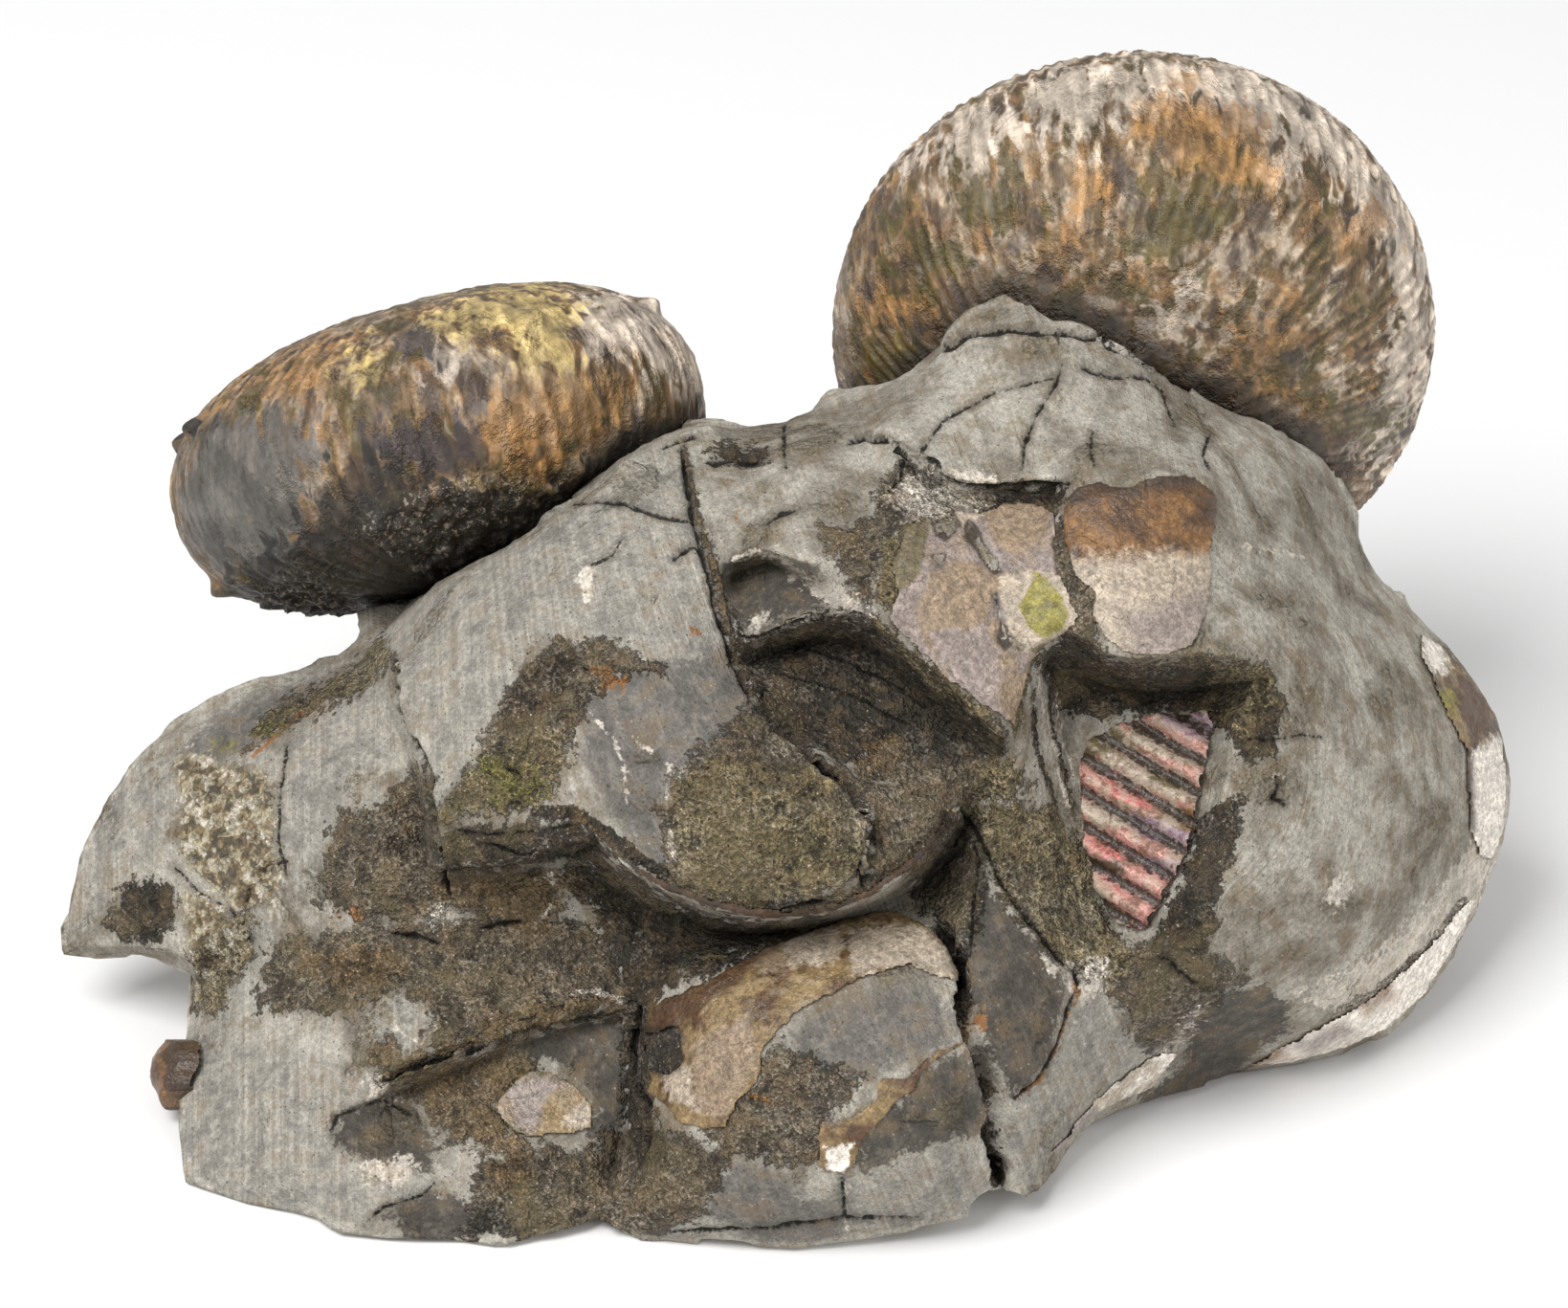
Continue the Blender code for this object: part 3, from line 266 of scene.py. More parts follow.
# The cracks and veins: places on the sheet, half width and depth in millimetres.
LINES = {
    "front crack": (
        [(783, 728), (797, 742), (812, 757), (830, 767), (845, 785), (862, 802), (880, 815),
         (895, 828), (905, 848), (915, 862), (913, 885), (906, 905), (903, 925)], 0.5, 2.6),
    "main crack": (
        [(978, 965), (992, 985), (1004, 1000), (1006, 1030), (1010, 1060), (1014, 1082),
         (1028, 1105), (1036, 1135), (1040, 1165), (1040, 1200), (1046, 1245)], 0.62, 4.0),
    "beside the thin shell": (
        [(712, 470), (717, 500), (722, 535), (732, 572), (742, 600), (750, 640), (760, 668),
         (770, 700), (783, 728)], 0.26, 0.9),
    "thin shell": (
        [(716, 470), (722, 500), (727, 535), (740, 572), (749, 600), (757, 640), (765, 668)],
        0.2, -0.45),
    "slot in the top": (
        [(888, 464), (900, 456), (930, 458), (948, 468), (965, 480), (985, 496)], 0.4, 1.4),
    "over the shell field": (
        [(985, 496), (1000, 508), (1040, 512), (1060, 508), (1090, 508), (1115, 505)],
        0.34, 0.9),
    "long crack in the slope": (
        [(1112, 378), (1105, 400), (1095, 415), (1080, 440), (1072, 460), (1068, 490)],
        0.22, 0.7),
    "fork in the slope": (
        [(1130, 385), (1160, 395), (1198, 394), (1215, 408), (1222, 430), (1228, 446)],
        0.16, 0.45),
    "crack beside the plate": ([(1265, 452), (1258, 475), (1264, 490)], 0.2, 0.5),
    "small hole": ([(1334, 812), (1338, 822), (1332, 834), (1342, 840)], 0.34, 0.9),
    "faint crack": ([(1142, 450), (1140, 470), (1143, 486)], 0.16, 0.35),
    "across the slope": ([(958, 480), (985, 440), (1040, 410), (1100, 396)], 0.12, 0.3),
    "under the top ledge": (
        [(940, 382), (962, 378), (985, 362), (1010, 350), (1050, 343), (1100, 345), (1150, 352),
         (1200, 380), (1240, 400)], 0.42, 1.3),
    "lower ledge": (
        [(398, 1130), (430, 1112), (470, 1100), (520, 1087), (560, 1074), (600, 1060), (640, 1050),
         (664, 1046)], 0.45, 1.8),
    "joint of the lower blocks": (
        [(668, 1050), (662, 1090), (662, 1130), (676, 1155), (678, 1180), (672, 1210)],
        0.34, 1.2),
    "edge of the green wedge": (
        [(1005, 845), (1030, 890), (1048, 925), (1070, 955), (1095, 985), (1112, 1010)],
        0.24, 0.7),
    "wedge line": (
        [(1122, 1010), (1127, 1030), (1119, 1050), (1109, 1082), (1098, 1110), (1085, 1130),
         (1060, 1148)], 0.22, 0.6),
    "left joint": (
        [(414, 690), (411, 712), (414, 745), (424, 768), (440, 790), (448, 815), (452, 860),
         (460, 905), (470, 935)], 0.36, 1.5),
    "bed": ([(503, 880), (520, 884), (540, 892), (575, 894)], 0.2, 0.7),
    "long bed": (
        [(458, 914), (520, 909), (560, 905), (600, 898), (622, 884)], 0.32, 1.1),
    "low bed": ([(470, 866), (510, 872), (560, 868), (600, 862)], 0.14, 0.4),
    "short bed": ([(500, 971), (520, 965), (545, 962)], 0.22, 0.8),
    "left bed": ([(408, 975), (440, 978), (458, 986)], 0.22, 0.7),
    "split in the rim": ([(796, 958), (820, 950), (845, 944), (870, 944)], 0.24, 0.9),
    "low groove": (
        [(700, 1288), (760, 1286), (800, 1284), (850, 1278), (900, 1273), (960, 1272)],
        0.2, 0.6),
    "upright crack": ([(880, 1230), (882, 1255), (884, 1276)], 0.18, 0.6),
    "left of the thin shell": (
        [(600, 528), (625, 524), (652, 526), (668, 532), (690, 540), (722, 546)], 0.2, 0.5),
    "cavity at the top": ([(735, 484), (760, 480), (780, 482), (802, 478)], 0.4, 0.8),
    "nick at the thin shell": ([(704, 584), (714, 576), (724, 570), (732, 574)], 0.3, 0.8),
    "crack at the crest": ([(690, 470), (706, 462), (730, 456)], 0.22, 0.6),
    "scratch": ([(615, 590), (618, 605), (612, 625)], 0.14, -0.15),
    "light crack": ([(650, 565), (640, 580), (620, 590)], 0.12, 0.25),
    "top of the dark facet": (
        [(768, 662), (790, 668), (820, 655), (850, 642), (880, 636), (900, 642)], 0.2, 0.5),
    "bed in the dark facet": ([(800, 700), (850, 712), (900, 730), (950, 758)], 0.13, 0.35),
    "second bed in the facet": ([(830, 675), (880, 690), (930, 712), (980, 748)], 0.12, 0.3),
    "left of the wedge": ([(1018, 880), (1022, 910), (1016, 950), (1014, 1000)], 0.16, 0.4),
    "through the block": ([(300, 780), (292, 830), (290, 880), (300, 915)], 0.14, 0.4),
    "in the low block": ([(345, 1185), (352, 1165), (400, 1150), (430, 1165)], 0.16, 0.5),
    "side of the low block": ([(455, 1235), (440, 1250), (400, 1262), (380, 1280)], 0.18, 0.6),
    "brown line": ([(1208, 997), (1222, 1006), (1235, 1018), (1262, 1034)], 0.14, 0.3),
    "faint line": ([(1300, 772), (1330, 773), (1360, 768), (1380, 770)], 0.1, 0.25),
    "raised vein": ([(1296, 570), (1320, 577), (1345, 582), (1362, 580)], 0.22, -0.3),
    "hole in the mass": ([(1334, 812), (1338, 824)], 0.36, 1.0),
    "pit": ([(606, 694), (613, 699)], 0.34, 0.9),
    "first pore": ([(530, 803), (541, 809)], 0.34, 0.8),
    "second pore": ([(535, 838), (545, 840)], 0.34, 0.8),
    "side of the chalk": ([(945, 478), (942, 500), (930, 512)], 0.2, 0.5),
    "small step": ([(802, 548), (815, 538), (830, 534)], 0.18, 0.4),
    "split block": ([(820, 440), (819, 470), (822, 490)], 0.14, 0.35),
    "in the left lobe": ([(250, 960), (262, 930), (280, 905), (300, 900)], 0.2, 0.6),
    "under the crystals": ([(180, 905), (210, 935), (240, 950), (262, 985)], 0.18, 0.5),
}
TAPER = 14  # how far from its ends a crack narrows, on the sheet

# Thin coloured lines: places on the sheet and half width in millimetres, by finish.
VEINS = {
    "earth": [
        ([(716, 470), (722, 500), (727, 535), (740, 572), (749, 600), (757, 640), (765, 668),
          (776, 706), (785, 726)], 0.3),
        ([(1208, 997), (1222, 1006), (1235, 1018), (1262, 1034)], 0.2),
        ([(250, 790), (300, 756), (345, 735)], 0.25),
        ([(395, 1128), (430, 1106), (480, 1093), (540, 1072), (600, 1052), (650, 1040)], 0.4),
        ([(600, 850), (625, 868), (645, 890), (680, 920)], 0.2),
    ],
    "rust": [
        ([(1118, 1020), (1127, 1038), (1121, 1052), (1110, 1080), (1100, 1108), (1088, 1128),
          (1064, 1146)], 0.16),
        ([(315, 745), (290, 768), (265, 790)], 0.2),
        ([(785, 1146), (800, 1150)], 0.25),
    ],
    "chalk": [
        ([(768, 584), (790, 577), (815, 584), (845, 604), (870, 620), (895, 634)], 0.28),
        ([(615, 590), (618, 605), (612, 628)], 0.2),
        ([(650, 565), (640, 580), (620, 590)], 0.14),
        ([(1300, 570), (1330, 578), (1362, 582)], 0.2),
        ([(780, 668), (800, 660), (830, 654), (860, 640), (880, 636), (905, 642)], 0.22),
        ([(618, 745), (640, 770), (652, 800), (656, 840)], 0.16),
        ([(660, 770), (700, 800), (696, 850), (706, 900)], 0.14),
        ([(600, 1036), (625, 1036), (650, 1044)], 0.2),
        ([(1086, 700), (1090, 740), (1104, 790), (1116, 840)], 0.14),
        ([(1104, 720), (1110, 770), (1124, 820)], 0.12),
        ([(1330, 812), (1334, 806), (1342, 812)], 0.14),
        ([(560, 920), (578, 914), (578, 945), (560, 968)], 0.14),
        ([(415, 1075), (440, 1092), (455, 1074)], 0.18),
        ([(885, 1236), (885, 1285)], 0.12),
    ],
    "dark": [
        ([(560, 848), (600, 850), (630, 868), (660, 892), (700, 918), (745, 936), (790, 946),
          (830, 948), (870, 942), (905, 928), (940, 904), (966, 880), (992, 852)], 0.7),
        ([(398, 1132), (470, 1102), (560, 1076), (660, 1050)], 0.35),
        ([(1004, 1000), (1014, 1082), (1036, 1135), (1044, 1240)], 0.6),
        ([(768, 640), (790, 720), (850, 790), (905, 850)], 0.3),
        ([(1096, 700), (1100, 760), (1118, 830)], 0.2),
        ([(1076, 700), (1084, 780), (1104, 850), (1124, 900)], 0.2),
        ([(1258, 870), (1240, 940), (1212, 984)], 0.5),
    ],
    "olive": [
        ([(735, 1002), (790, 992), (850, 966)], 0.25),
        ([(1400, 1056), (1440, 1034), (1490, 990), (1530, 940)], 0.25),
        ([(905, 640), (935, 668), (960, 700), (1000, 730), (1032, 745)], 0.3),
        ([(1060, 770), (1075, 700), (1092, 680)], 0.25),
    ],
}

# The tones of the two ammonites, each with its places on the sheet.
LARGE_TONES = {
    "rim": [
        [(940, 175), (1000, 120), (1050, 95), (1100, 70), (1200, 52), (1300, 62), (1400, 118),
         (1460, 180), (1498, 260), (1502, 340), (1488, 420), (1450, 500), (1400, 475), (1440, 400),
         (1452, 330), (1440, 265), (1400, 205), (1340, 142), (1260, 118), (1200, 108), (1130, 116),
         (1060, 138), (1000, 175)],
    ],
    "green": [
        [(1000, 205), (1060, 190), (1080, 215), (1040, 240), (1010, 235)],
        [(950, 262), (990, 255), (1005, 280), (960, 300)],
        [(1195, 205), (1260, 190), (1290, 220), (1250, 262), (1200, 272), (1180, 240)],
        [(1340, 372), (1385, 372), (1360, 402), (1330, 400)],
        [(1400, 312), (1445, 318), (1430, 342), (1400, 340)],
        [(1390, 432), (1440, 418), (1462, 438), (1420, 470)],
        [(910, 225), (940, 215), (950, 240), (925, 250)],
        [(900, 356), (955, 346), (985, 376), (940, 412), (900, 400)],
    ],
    "orange": [
        [(1118, 182), (1155, 185), (1160, 210), (1130, 216)],
        [(1200, 100), (1260, 88), (1305, 118), (1325, 180), (1285, 205), (1225, 172),
         (1200, 140)],
        [(1400, 232), (1440, 212), (1452, 250), (1404, 262)],
        [(1300, 352), (1342, 340), (1345, 360), (1310, 376)],
        [(895, 312), (950, 300), (952, 332), (905, 352)],
        [(1310, 390), (1345, 385), (1350, 405), (1320, 410)],
    ],
    "silver": [
        [(1085, 78), (1150, 68), (1165, 130), (1140, 165), (1100, 145)],
        [(1335, 108), (1385, 112), (1372, 150), (1340, 185)],
        [(1270, 65), (1340, 82), (1400, 125), (1440, 165), (1400, 150), (1330, 110), (1280, 90)],
        [(1180, 330), (1240, 300), (1260, 340), (1220, 370)],
    ],
}
SMALL_TONES = {
    "rim": [
        [(600, 300), (660, 306), (720, 340), (760, 400), (766, 440), (730, 430), (700, 390),
         (650, 352), (605, 345)],
    ],
    # The lower part of the small ammonite: dark crust, and painted shade on its underside.
    "dark": [
        [(236, 612), (280, 570), (320, 535), (350, 490), (420, 478), (480, 505), (560, 520),
         (600, 500), (660, 462), (720, 436), (768, 438), (700, 470), (640, 500), (560, 560),
         (500, 600), (440, 640), (410, 680), (362, 700), (345, 655), (300, 655), (246, 640)],
        [(350, 480), (400, 470), (430, 500), (400, 530), (360, 520)],
        [(186, 436), (212, 440), (206, 462), (190, 456)],
    ],
    "violet": [
        [(380, 446), (440, 440), (492, 446), (500, 480), (470, 505), (410, 500)],
        [(420, 345), (450, 350), (450, 380), (425, 375)],
    ],
    "orange": [
        [(258, 402), (310, 370), (352, 350), (362, 362), (345, 395), (310, 412), (278, 416)],
        [(188, 432), (235, 422), (242, 438), (205, 446)],
        [(505, 410), (560, 395), (625, 390), (660, 412), (650, 440), (605, 470), (575, 495),
         (530, 500), (505, 460)],
        [(176, 472), (196, 468), (196, 500), (184, 504)],
        [(350, 488), (385, 492), (395, 515), (360, 512)],
    ],
    "gold": [
        [(440, 332), (480, 312), (540, 300), (585, 298), (606, 325), (596, 385), (555, 385),
         (520, 345), (480, 348), (455, 352)],
        [(365, 365), (385, 360), (388, 395), (368, 398)],
        [(470, 500), (505, 495), (500, 512), (475, 515)],
        [(540, 505), (590, 505), (585, 520), (545, 520)],
        [(390, 515), (420, 510), (420, 530), (395, 535)],
    ],
    "silver": [
        [(600, 310), (650, 312), (700, 340), (745, 385), (755, 420), (700, 400), (650, 370),
         (610, 380)],
        [(430, 350), (470, 355), (490, 390), (450, 400)],
    ],
    "mould": [
        [(195, 445), (300, 425), (340, 465), (320, 520), (345, 560), (300, 592), (240, 606),
         (196, 572), (184, 530), (188, 480)],
    ],
    "crumb": [
        [(246, 640), (300, 600), (345, 600), (372, 640), (362, 698), (340, 655), (300, 655)],
        [(372, 552), (430, 515), (500, 495), (560, 505), (600, 490), (604, 520), (545, 572),
         (480, 604), (440, 606)],
    ],
}


def shade(red, green, blue):
    """A colour given as it looks, out of 255, as Blender holds it."""
    looks = [part / 255 for part in (red, green, blue)]
    return [part / 12.92 if part <= 0.04045 else ((part + 0.055) / 1.055) ** 2.4 for part in looks]


def colour(label, told, *looks):
    """A colour that a user may change."""
    return FloatVectorProperty(
        name=label, description=told, default=shade(*looks), subtype="COLOR", min=0, max=1
    )


def length(label, told, millimetres):
    """A length that a user may change."""
    return FloatProperty(
        name=label, description=told, default=millimetres * MM, unit="LENGTH", min=0, precision=5
    )


class StoneSettings(bpy.types.PropertyGroup):
    """The lump of concretion."""

    ground: colour("Ground stone", "Smooth grey matrix", 164, 159, 148)
    deep: colour("Deeper stone", "Darker clouds in the matrix", 118, 111, 99)
    pale: colour("Pale stone", "Light striated faces", 147, 143, 134)
    cool: colour("Cool stone", "Bluish grey broken faces", 101, 97, 92)
    grit: colour("Gritty stone", "Coarse brownish grey breaks", 101, 90, 73)
    # This tone is also painted as shade, in hollows, cracks, pores, shut-in places and under
    # ledges.
    dark: colour("Dark stone", "Fresh dark breaks", 58, 50, 38)
    charcoal: colour("Charcoal stone", "Dark smooth faces", 70, 65, 58)
    olive: colour("Olive stone", "Green-brown porous faces", 118, 106, 77)
    earth: colour("Earthy crust", "Brown ochre crust", 110, 90, 62)
    chalk: colour("Chalky veins", "Whitish veins and powder", 200, 191, 178)
    rust: colour("Rusty lines", "Red-brown chips and lines", 140, 98, 58)
    crystal: colour("Crystals", "Gold and white crystals", 156, 147, 124)
    moss: colour("Green specks", "Yellow-green spots", 112, 106, 56)
    ground_lumps: length("Lumps", "Height of the low lumps", 0.12)
    break_lumps: length("Broken relief", "Height of the relief on broken faces", 0.5)
    back_lumps: length("Back relief", "Height of the relief on the unseen side", 0.7)


class AmmoniteSettings(bpy.types.PropertyGroup):
    """The two coiled shells."""

    pearl: colour("Mother-of-pearl", "Lilac grey shell", 184, 168, 148)
    rim: colour("Outer band", "Lighter shell round the outside", 214, 199, 182)
    silver: colour("Silver", "Pale silvery shell", 196, 182, 166)
    brown: colour("Brown shell", "Warm brown shell", 124, 98, 66)
    orange: colour("Orange shell", "Orange ochre patches", 160, 118, 68)
    gold: colour("Gold shell", "Yellow-green patches", 196, 172, 112)
    green: colour("Green shell", "Olive green patches", 78, 68, 28)
    violet: colour("Violet shell", "Violet brown patches", 62, 53, 53)
    # Also painted as shade on the small ammonite's underside, in the navels and where the shells
    # meet the stone.
    dark: colour("Dark shell", "Nearly black crust", 34, 28, 21)
    mould: colour("Grey mould", "Grey stone where the shell has gone", 96, 92, 86)
    crumb: colour("Crumbs", "Yellowish crumbs of stone", 96, 84, 56)
    large_ribs: IntProperty(name="Ribs, large", description="Ribs round it", default=108, min=12)
    small_ribs: IntProperty(name="Ribs, small", description="Ribs round it", default=90, min=12)
    rib_height: length("Rib height", "Height of a rib over the groove", 0.36)
    knob_height: length("Knob height", "Height of the small ammonite's knobs", 1.7)


class ShellSettings(bpy.types.PropertyGroup):
    """The broken shell in the stone's face."""

    brown: colour("Brown shell", "Top of the scalloped plate", 80, 56, 35)
    cream: colour("Cream shell", "Foot of the scalloped plate", 172, 158, 140)
    lilac: colour("Lilac shell", "Cool tones in the mottled shell", 138, 125, 118)
    tan: colour("Tan shell", "The valve on the lower block", 134, 112, 76)
    pink: colour("Pink shell", "Ribbed mother-of-pearl", 196, 142, 132)
    violet: colour("Violet shell", "Coolest mother-of-pearl", 150, 126, 140)
    buff: colour("Buff shell", "Warm tones in the mottled shell", 142, 122, 100)
    rose: colour("Rose shell", "Reddest mother-of-pearl", 196, 116, 112)
    moss: colour("Moss", "Yellow-green growth", 130, 122, 44)
    olive: colour("Olive film", "Green-brown film on the shell", 94, 84, 56)
    # Also painted as shade in the grooves of the ribbed shell.
    dark: colour("Dirt", "Dark dirt in gaps and along edges", 50, 40, 30)
    white: colour("White shell", "Worn white shell", 232, 223, 211)
    amber: colour("Amber shell", "The piece at the left edge", 120, 86, 50)
    thickness: length("Thickness", "Thickness of a plate of shell", 0.45)


class StageSettings(bpy.types.PropertyGroup):
    """The floor, the light and the camera."""

    floor: colour("Floor", "Plain pale floor", 240, 240, 240)
    key: FloatProperty(name="Main light", description="Power", default=13, unit="POWER", min=0)
    fill: FloatProperty(name="Fill light", description="Power", default=4, unit="POWER", min=0)
    sky: FloatProperty(name="Surroundings", description="Strength", default=0.55, min=0)


GROUPS = {
    "fossil_stone": StoneSettings,
    "fossil_ammonites": AmmoniteSettings,
    "fossil_shells": ShellSettings,
    "fossil_stage": StageSettings,
}


class Finish:
    """A material's nodes, made one by one."""

    def __init__(self, name):
        self.material = bpy.data.materials.new(name)
        self.material.use_nodes = True
        self.tree = self.material.node_tree
        self.shader = self.tree.nodes["Principled BSDF"]
        self.place = self.node("ShaderNodeTexCoord").outputs["Object"]
        leant = self.node("ShaderNodeVectorRotate", rotation_type="EULER_XYZ")
        leant.inputs["Rotation"].default_value = PATTERN_LEAN
        self.feed(leant.inputs["Vector"], self.place)
        self.mm = self.vector("SCALE", leant.outputs[0], scale=1 / MM)

    def node(self, kind, **settings):
        made = self.tree.nodes.new(kind)
        for name, value in settings.items():
            setattr(made, name, value)
        return made

    def feed(self, socket, value):
        if isinstance(value, bpy.types.NodeSocket):
            self.tree.links.new(value, socket)
        elif socket.type == "RGBA":
            socket.default_value = (*value[:3], 1)
        else:
            socket.default_value = value

    def value(self, operation, *inputs):
        made = self.node("ShaderNodeMath", operation=operation)
        for socket, value in zip(made.inputs, inputs):
            self.feed(socket, value)
        return made.outputs[0]

    def times(self, first, second):
        return self.value("MULTIPLY", first, second)

    def times_add(self, first, second, added):
        return self.value("MULTIPLY_ADD", first, second, added)

    def vector(self, operation, *inputs, scale=None):
        made = self.node("ShaderNodeVectorMath", operation=operation)
        for socket, value in zip(made.inputs, inputs):
            self.feed(socket, value)
        if scale is not None:
            made.inputs["Scale"].default_value = scale
        return made.outputs["Value" if operation in ("LENGTH", "DOT_PRODUCT") else "Vector"]

    def joined(self, x, y, z=0.0):
        made = self.node("ShaderNodeCombineXYZ")
        for socket, value in zip(made.inputs, (x, y, z)):
            self.feed(socket, value)
        return made.outputs[0]

    def parts(self, vector):
        made = self.node("ShaderNodeSeparateXYZ")
        self.feed(made.inputs[0], vector)
        return made.outputs

    def turned(self, vector, angle):
        made = self.node("ShaderNodeVectorRotate", rotation_type="X_AXIS")
        self.feed(made.inputs["Vector"], vector)
        made.inputs["Angle"].default_value = angle
        return made.outputs[0]

    def noise(self, where, scale, detail=2.0, roughness=0.5, distortion=0.0):
        made = self.node("ShaderNodeTexNoise")
        self.feed(made.inputs["Vector"], where)
        made.inputs["Scale"].default_value = scale
        made.inputs["Detail"].default_value = detail
        made.inputs["Roughness"].default_value = roughness
        made.inputs["Distortion"].default_value = distortion
        return made.outputs[0]

    def cells(self, where, scale):
        """The way to the nearest of many scattered spots, and a chance number for that spot."""
        made = self.node("ShaderNodeTexVoronoi")
        self.feed(made.inputs["Vector"], where)
        made.inputs["Scale"].default_value = scale
        return made.outputs["Distance"], self.parts(made.outputs["Color"])[0]

    def facets(self, where, scale):
        """Tilted flats with sharp borders, a chance number for each, and the way to its middle."""
        made = self.node("ShaderNodeTexVoronoi")
        self.feed(made.inputs["Vector"], where)
        made.inputs["Scale"].default_value = scale
        apart = self.vector("SUBTRACT", where, made.outputs["Position"])
        tilt = self.vector("SUBTRACT", made.outputs["Color"], (0.5, 0.5, 0.5))
        chance = self.parts(made.outputs["Color"])[0]
        return self.vector("DOT_PRODUCT", apart, tilt), chance, made.outputs["Distance"]

    def field(self, name, vector=False):
        made = self.node("ShaderNodeAttribute", attribute_name=name)
        return made.outputs["Vector" if vector else "Fac"]

    def span(self, value, low, high, to_low=0.0, to_high=1.0):
        """A soft step from one value at low to another at high."""
        made = self.node("ShaderNodeMapRange", interpolation_type="SMOOTHSTEP")
        for socket, given in zip(made.inputs, (value, low, high, to_low, to_high)):
            self.feed(socket, given)
        return made.outputs[0]

    def mix(self, factor, first, second):
        made = self.node("ShaderNodeMix", data_type="RGBA")
        colours = [socket for socket in made.inputs if socket.type == "RGBA"]
        self.feed(made.inputs[0], factor)
        self.feed(colours[0], first)
        self.feed(colours[1], second)
        return next(socket for socket in made.outputs if socket.type == "RGBA")

    def scaled(self, tint, amount):
        """A colour made lighter or darker by an amount, which may vary."""
        return self.vector("MULTIPLY", tint, self.joined(amount, amount, amount))

    def uneven(self, tint, pattern, amount, reach=0.18):
        """A colour made lighter and darker by a pattern round 0.5, by up to an amount."""
        light = self.span(pattern, 0.5 - reach, 0.5 + reach, 1 - amount, 1 + amount)
        return self.scaled(tint, light)

    def bump(self, height):
        """The tilt of a surface whose height is given in millimetres."""
        made = self.node("ShaderNodeBump")
        made.inputs["Strength"].default_value = 1.0
        made.inputs["Distance"].default_value = MM
        self.feed(made.inputs["Height"], height)
        return made.outputs[0]

    def done(self, tint, roughness, normal, specular=0.5, coat=0.0, coat_roughness=0.2):
        self.feed(self.shader.inputs["Base Color"], tint)
        self.feed(self.shader.inputs["Roughness"], roughness)
        self.feed(self.shader.inputs["Normal"], normal)
        self.shader.inputs["Specular IOR Level"].default_value = specular
        self.shader.inputs["Coat Weight"].default_value = coat
        self.shader.inputs["Coat Roughness"].default_value = coat_roughness
        return self.material


def on_sheet(right, down, towards):
    """The point that the eye sees at a place on the sheet, at a height towards it."""
    spread = (EYE_DISTANCE - towards) / EYE_DISTANCE * STEP
    across = (right - SHEET_CENTRE[0]) * spread
    up = (SHEET_CENTRE[1] - down) * spread
    return SHEET @ Vector((across, up, towards))


def eye_frame(right, up, towards):
    """A direction given as seen by the eye."""
    return (SHEET.to_3x3() @ Vector((right, up, towards))).normalized()


def seen(places):
    """Where the eye sees points: on the sheet, and their heights towards it."""
    local = (places - np.array(SHEET_ORIGIN)) @ np.array(TURN.to_3x3())
    spread = (EYE_DISTANCE - local[:, 2]) / EYE_DISTANCE * STEP
    right = SHEET_CENTRE[0] + local[:, 0] / spread
    down = SHEET_CENTRE[1] - local[:, 1] / spread
    return np.column_stack((right, down)), local[:, 2]


def near(spots, run):
    """Which spots are near a run of places, so that only they are measured."""
    low = np.min(run, 0) - FAR
    high = np.max(run, 0) + FAR
    return np.where(((spots > low) & (spots < high)).all(1))[0]


def to_line(spots, a, b):
    """How far each spot is from the line between two places."""
    way = b - a
    along = np.clip((spots - a) @ way / (way @ way), 0, 1)
    return np.linalg.norm(spots - a - along[:, None] * way, axis=1)


def to_run(spots, run):
    """How far each spot is from a run of lines, up to FAR, and from the nearer of its ends."""
    run = np.array(run, float)
    result = np.full(len(spots), FAR)
    chosen = near(spots, run)
    for a, b in zip(run, run[1:]):
        result[chosen] = np.minimum(result[chosen], to_line(spots[chosen], a, b))
    ends = np.minimum(*(np.linalg.norm(spots - end, axis=1) for end in (run[0], run[-1])))
    return result, ends


def within(spots, outline):
    """How far each spot is inside an outline, and below zero how far outside."""
    ring = np.array(outline, float)
    result = np.full(len(spots), -FAR)
    chosen = near(spots, ring)
    close = spots[chosen]
    nearest = np.full(len(close), FAR)
    inside = np.zeros(len(close), bool)
    for a, b in zip(ring, np.roll(ring, -1, 0)):
        nearest = np.minimum(nearest, to_line(close, a, b))
        if a[1] != b[1]:
            crossing = a[0] + (b[0] - a[0]) * (close[:, 1] - a[1]) / (b[1] - a[1])
            spans = (a[1] > close[:, 1]) != (b[1] > close[:, 1])
            inside ^= spans & (close[:, 0] < crossing)
    result[chosen] = np.where(inside, nearest, -nearest)
    return result


def within_any(spots, outlines):
    """How far each spot is inside the nearest of several outlines, in millimetres."""
    return np.max([within(spots, outline) for outline in outlines], 0) * STEP / MM


def corners(bm):
    """The places of a bmesh's vertices."""
    return np.array([vert.co for vert in bm.verts])


def places_of(mesh):
    """The places of a mesh's vertices."""
    return np.array([vert.co for vert in mesh.vertices])


def outward(bm):
    """The normals of a bmesh's vertices."""
    bm.normal_update()
    return np.array([vert.normal for vert in bm.verts])


def move(bm, places):
    """Puts a bmesh's vertices at places."""
    for vert, place in zip(bm.verts, places):
        vert.co = place


def drop(bm, unwanted):
    """Deletes vertices, and those that are left with no face."""
    bmesh.ops.delete(bm, geom=unwanted, context="VERTS")
    loose = [vert for vert in bm.verts if not vert.link_faces]
    bmesh.ops.delete(bm, geom=loose, context="VERTS")


def smoothed(bm, verts, times):
    """Moves vertices halfway to the middle of their neighbours, several times."""
    for _ in range(times):
        bmesh.ops.smooth_vert(
            bm, verts=verts, factor=0.5, use_axis_x=True, use_axis_y=True, use_axis_z=True
        )


def rumble(places, size, seed, octaves=1):
    """Soft noise at each place, from about -1 to 1."""
    shift = Vector((seed * 7.3, seed * 3.1, seed * 5.7))
    scale = 1 / (size * MM)
    if octaves == 1:
        return np.array([noise.noise(Vector(place) * scale + shift) for place in places])
    return np.array(
        [noise.fractal(Vector(place) * scale + shift, 0.7, 2.0, octaves) for place in places]
    )


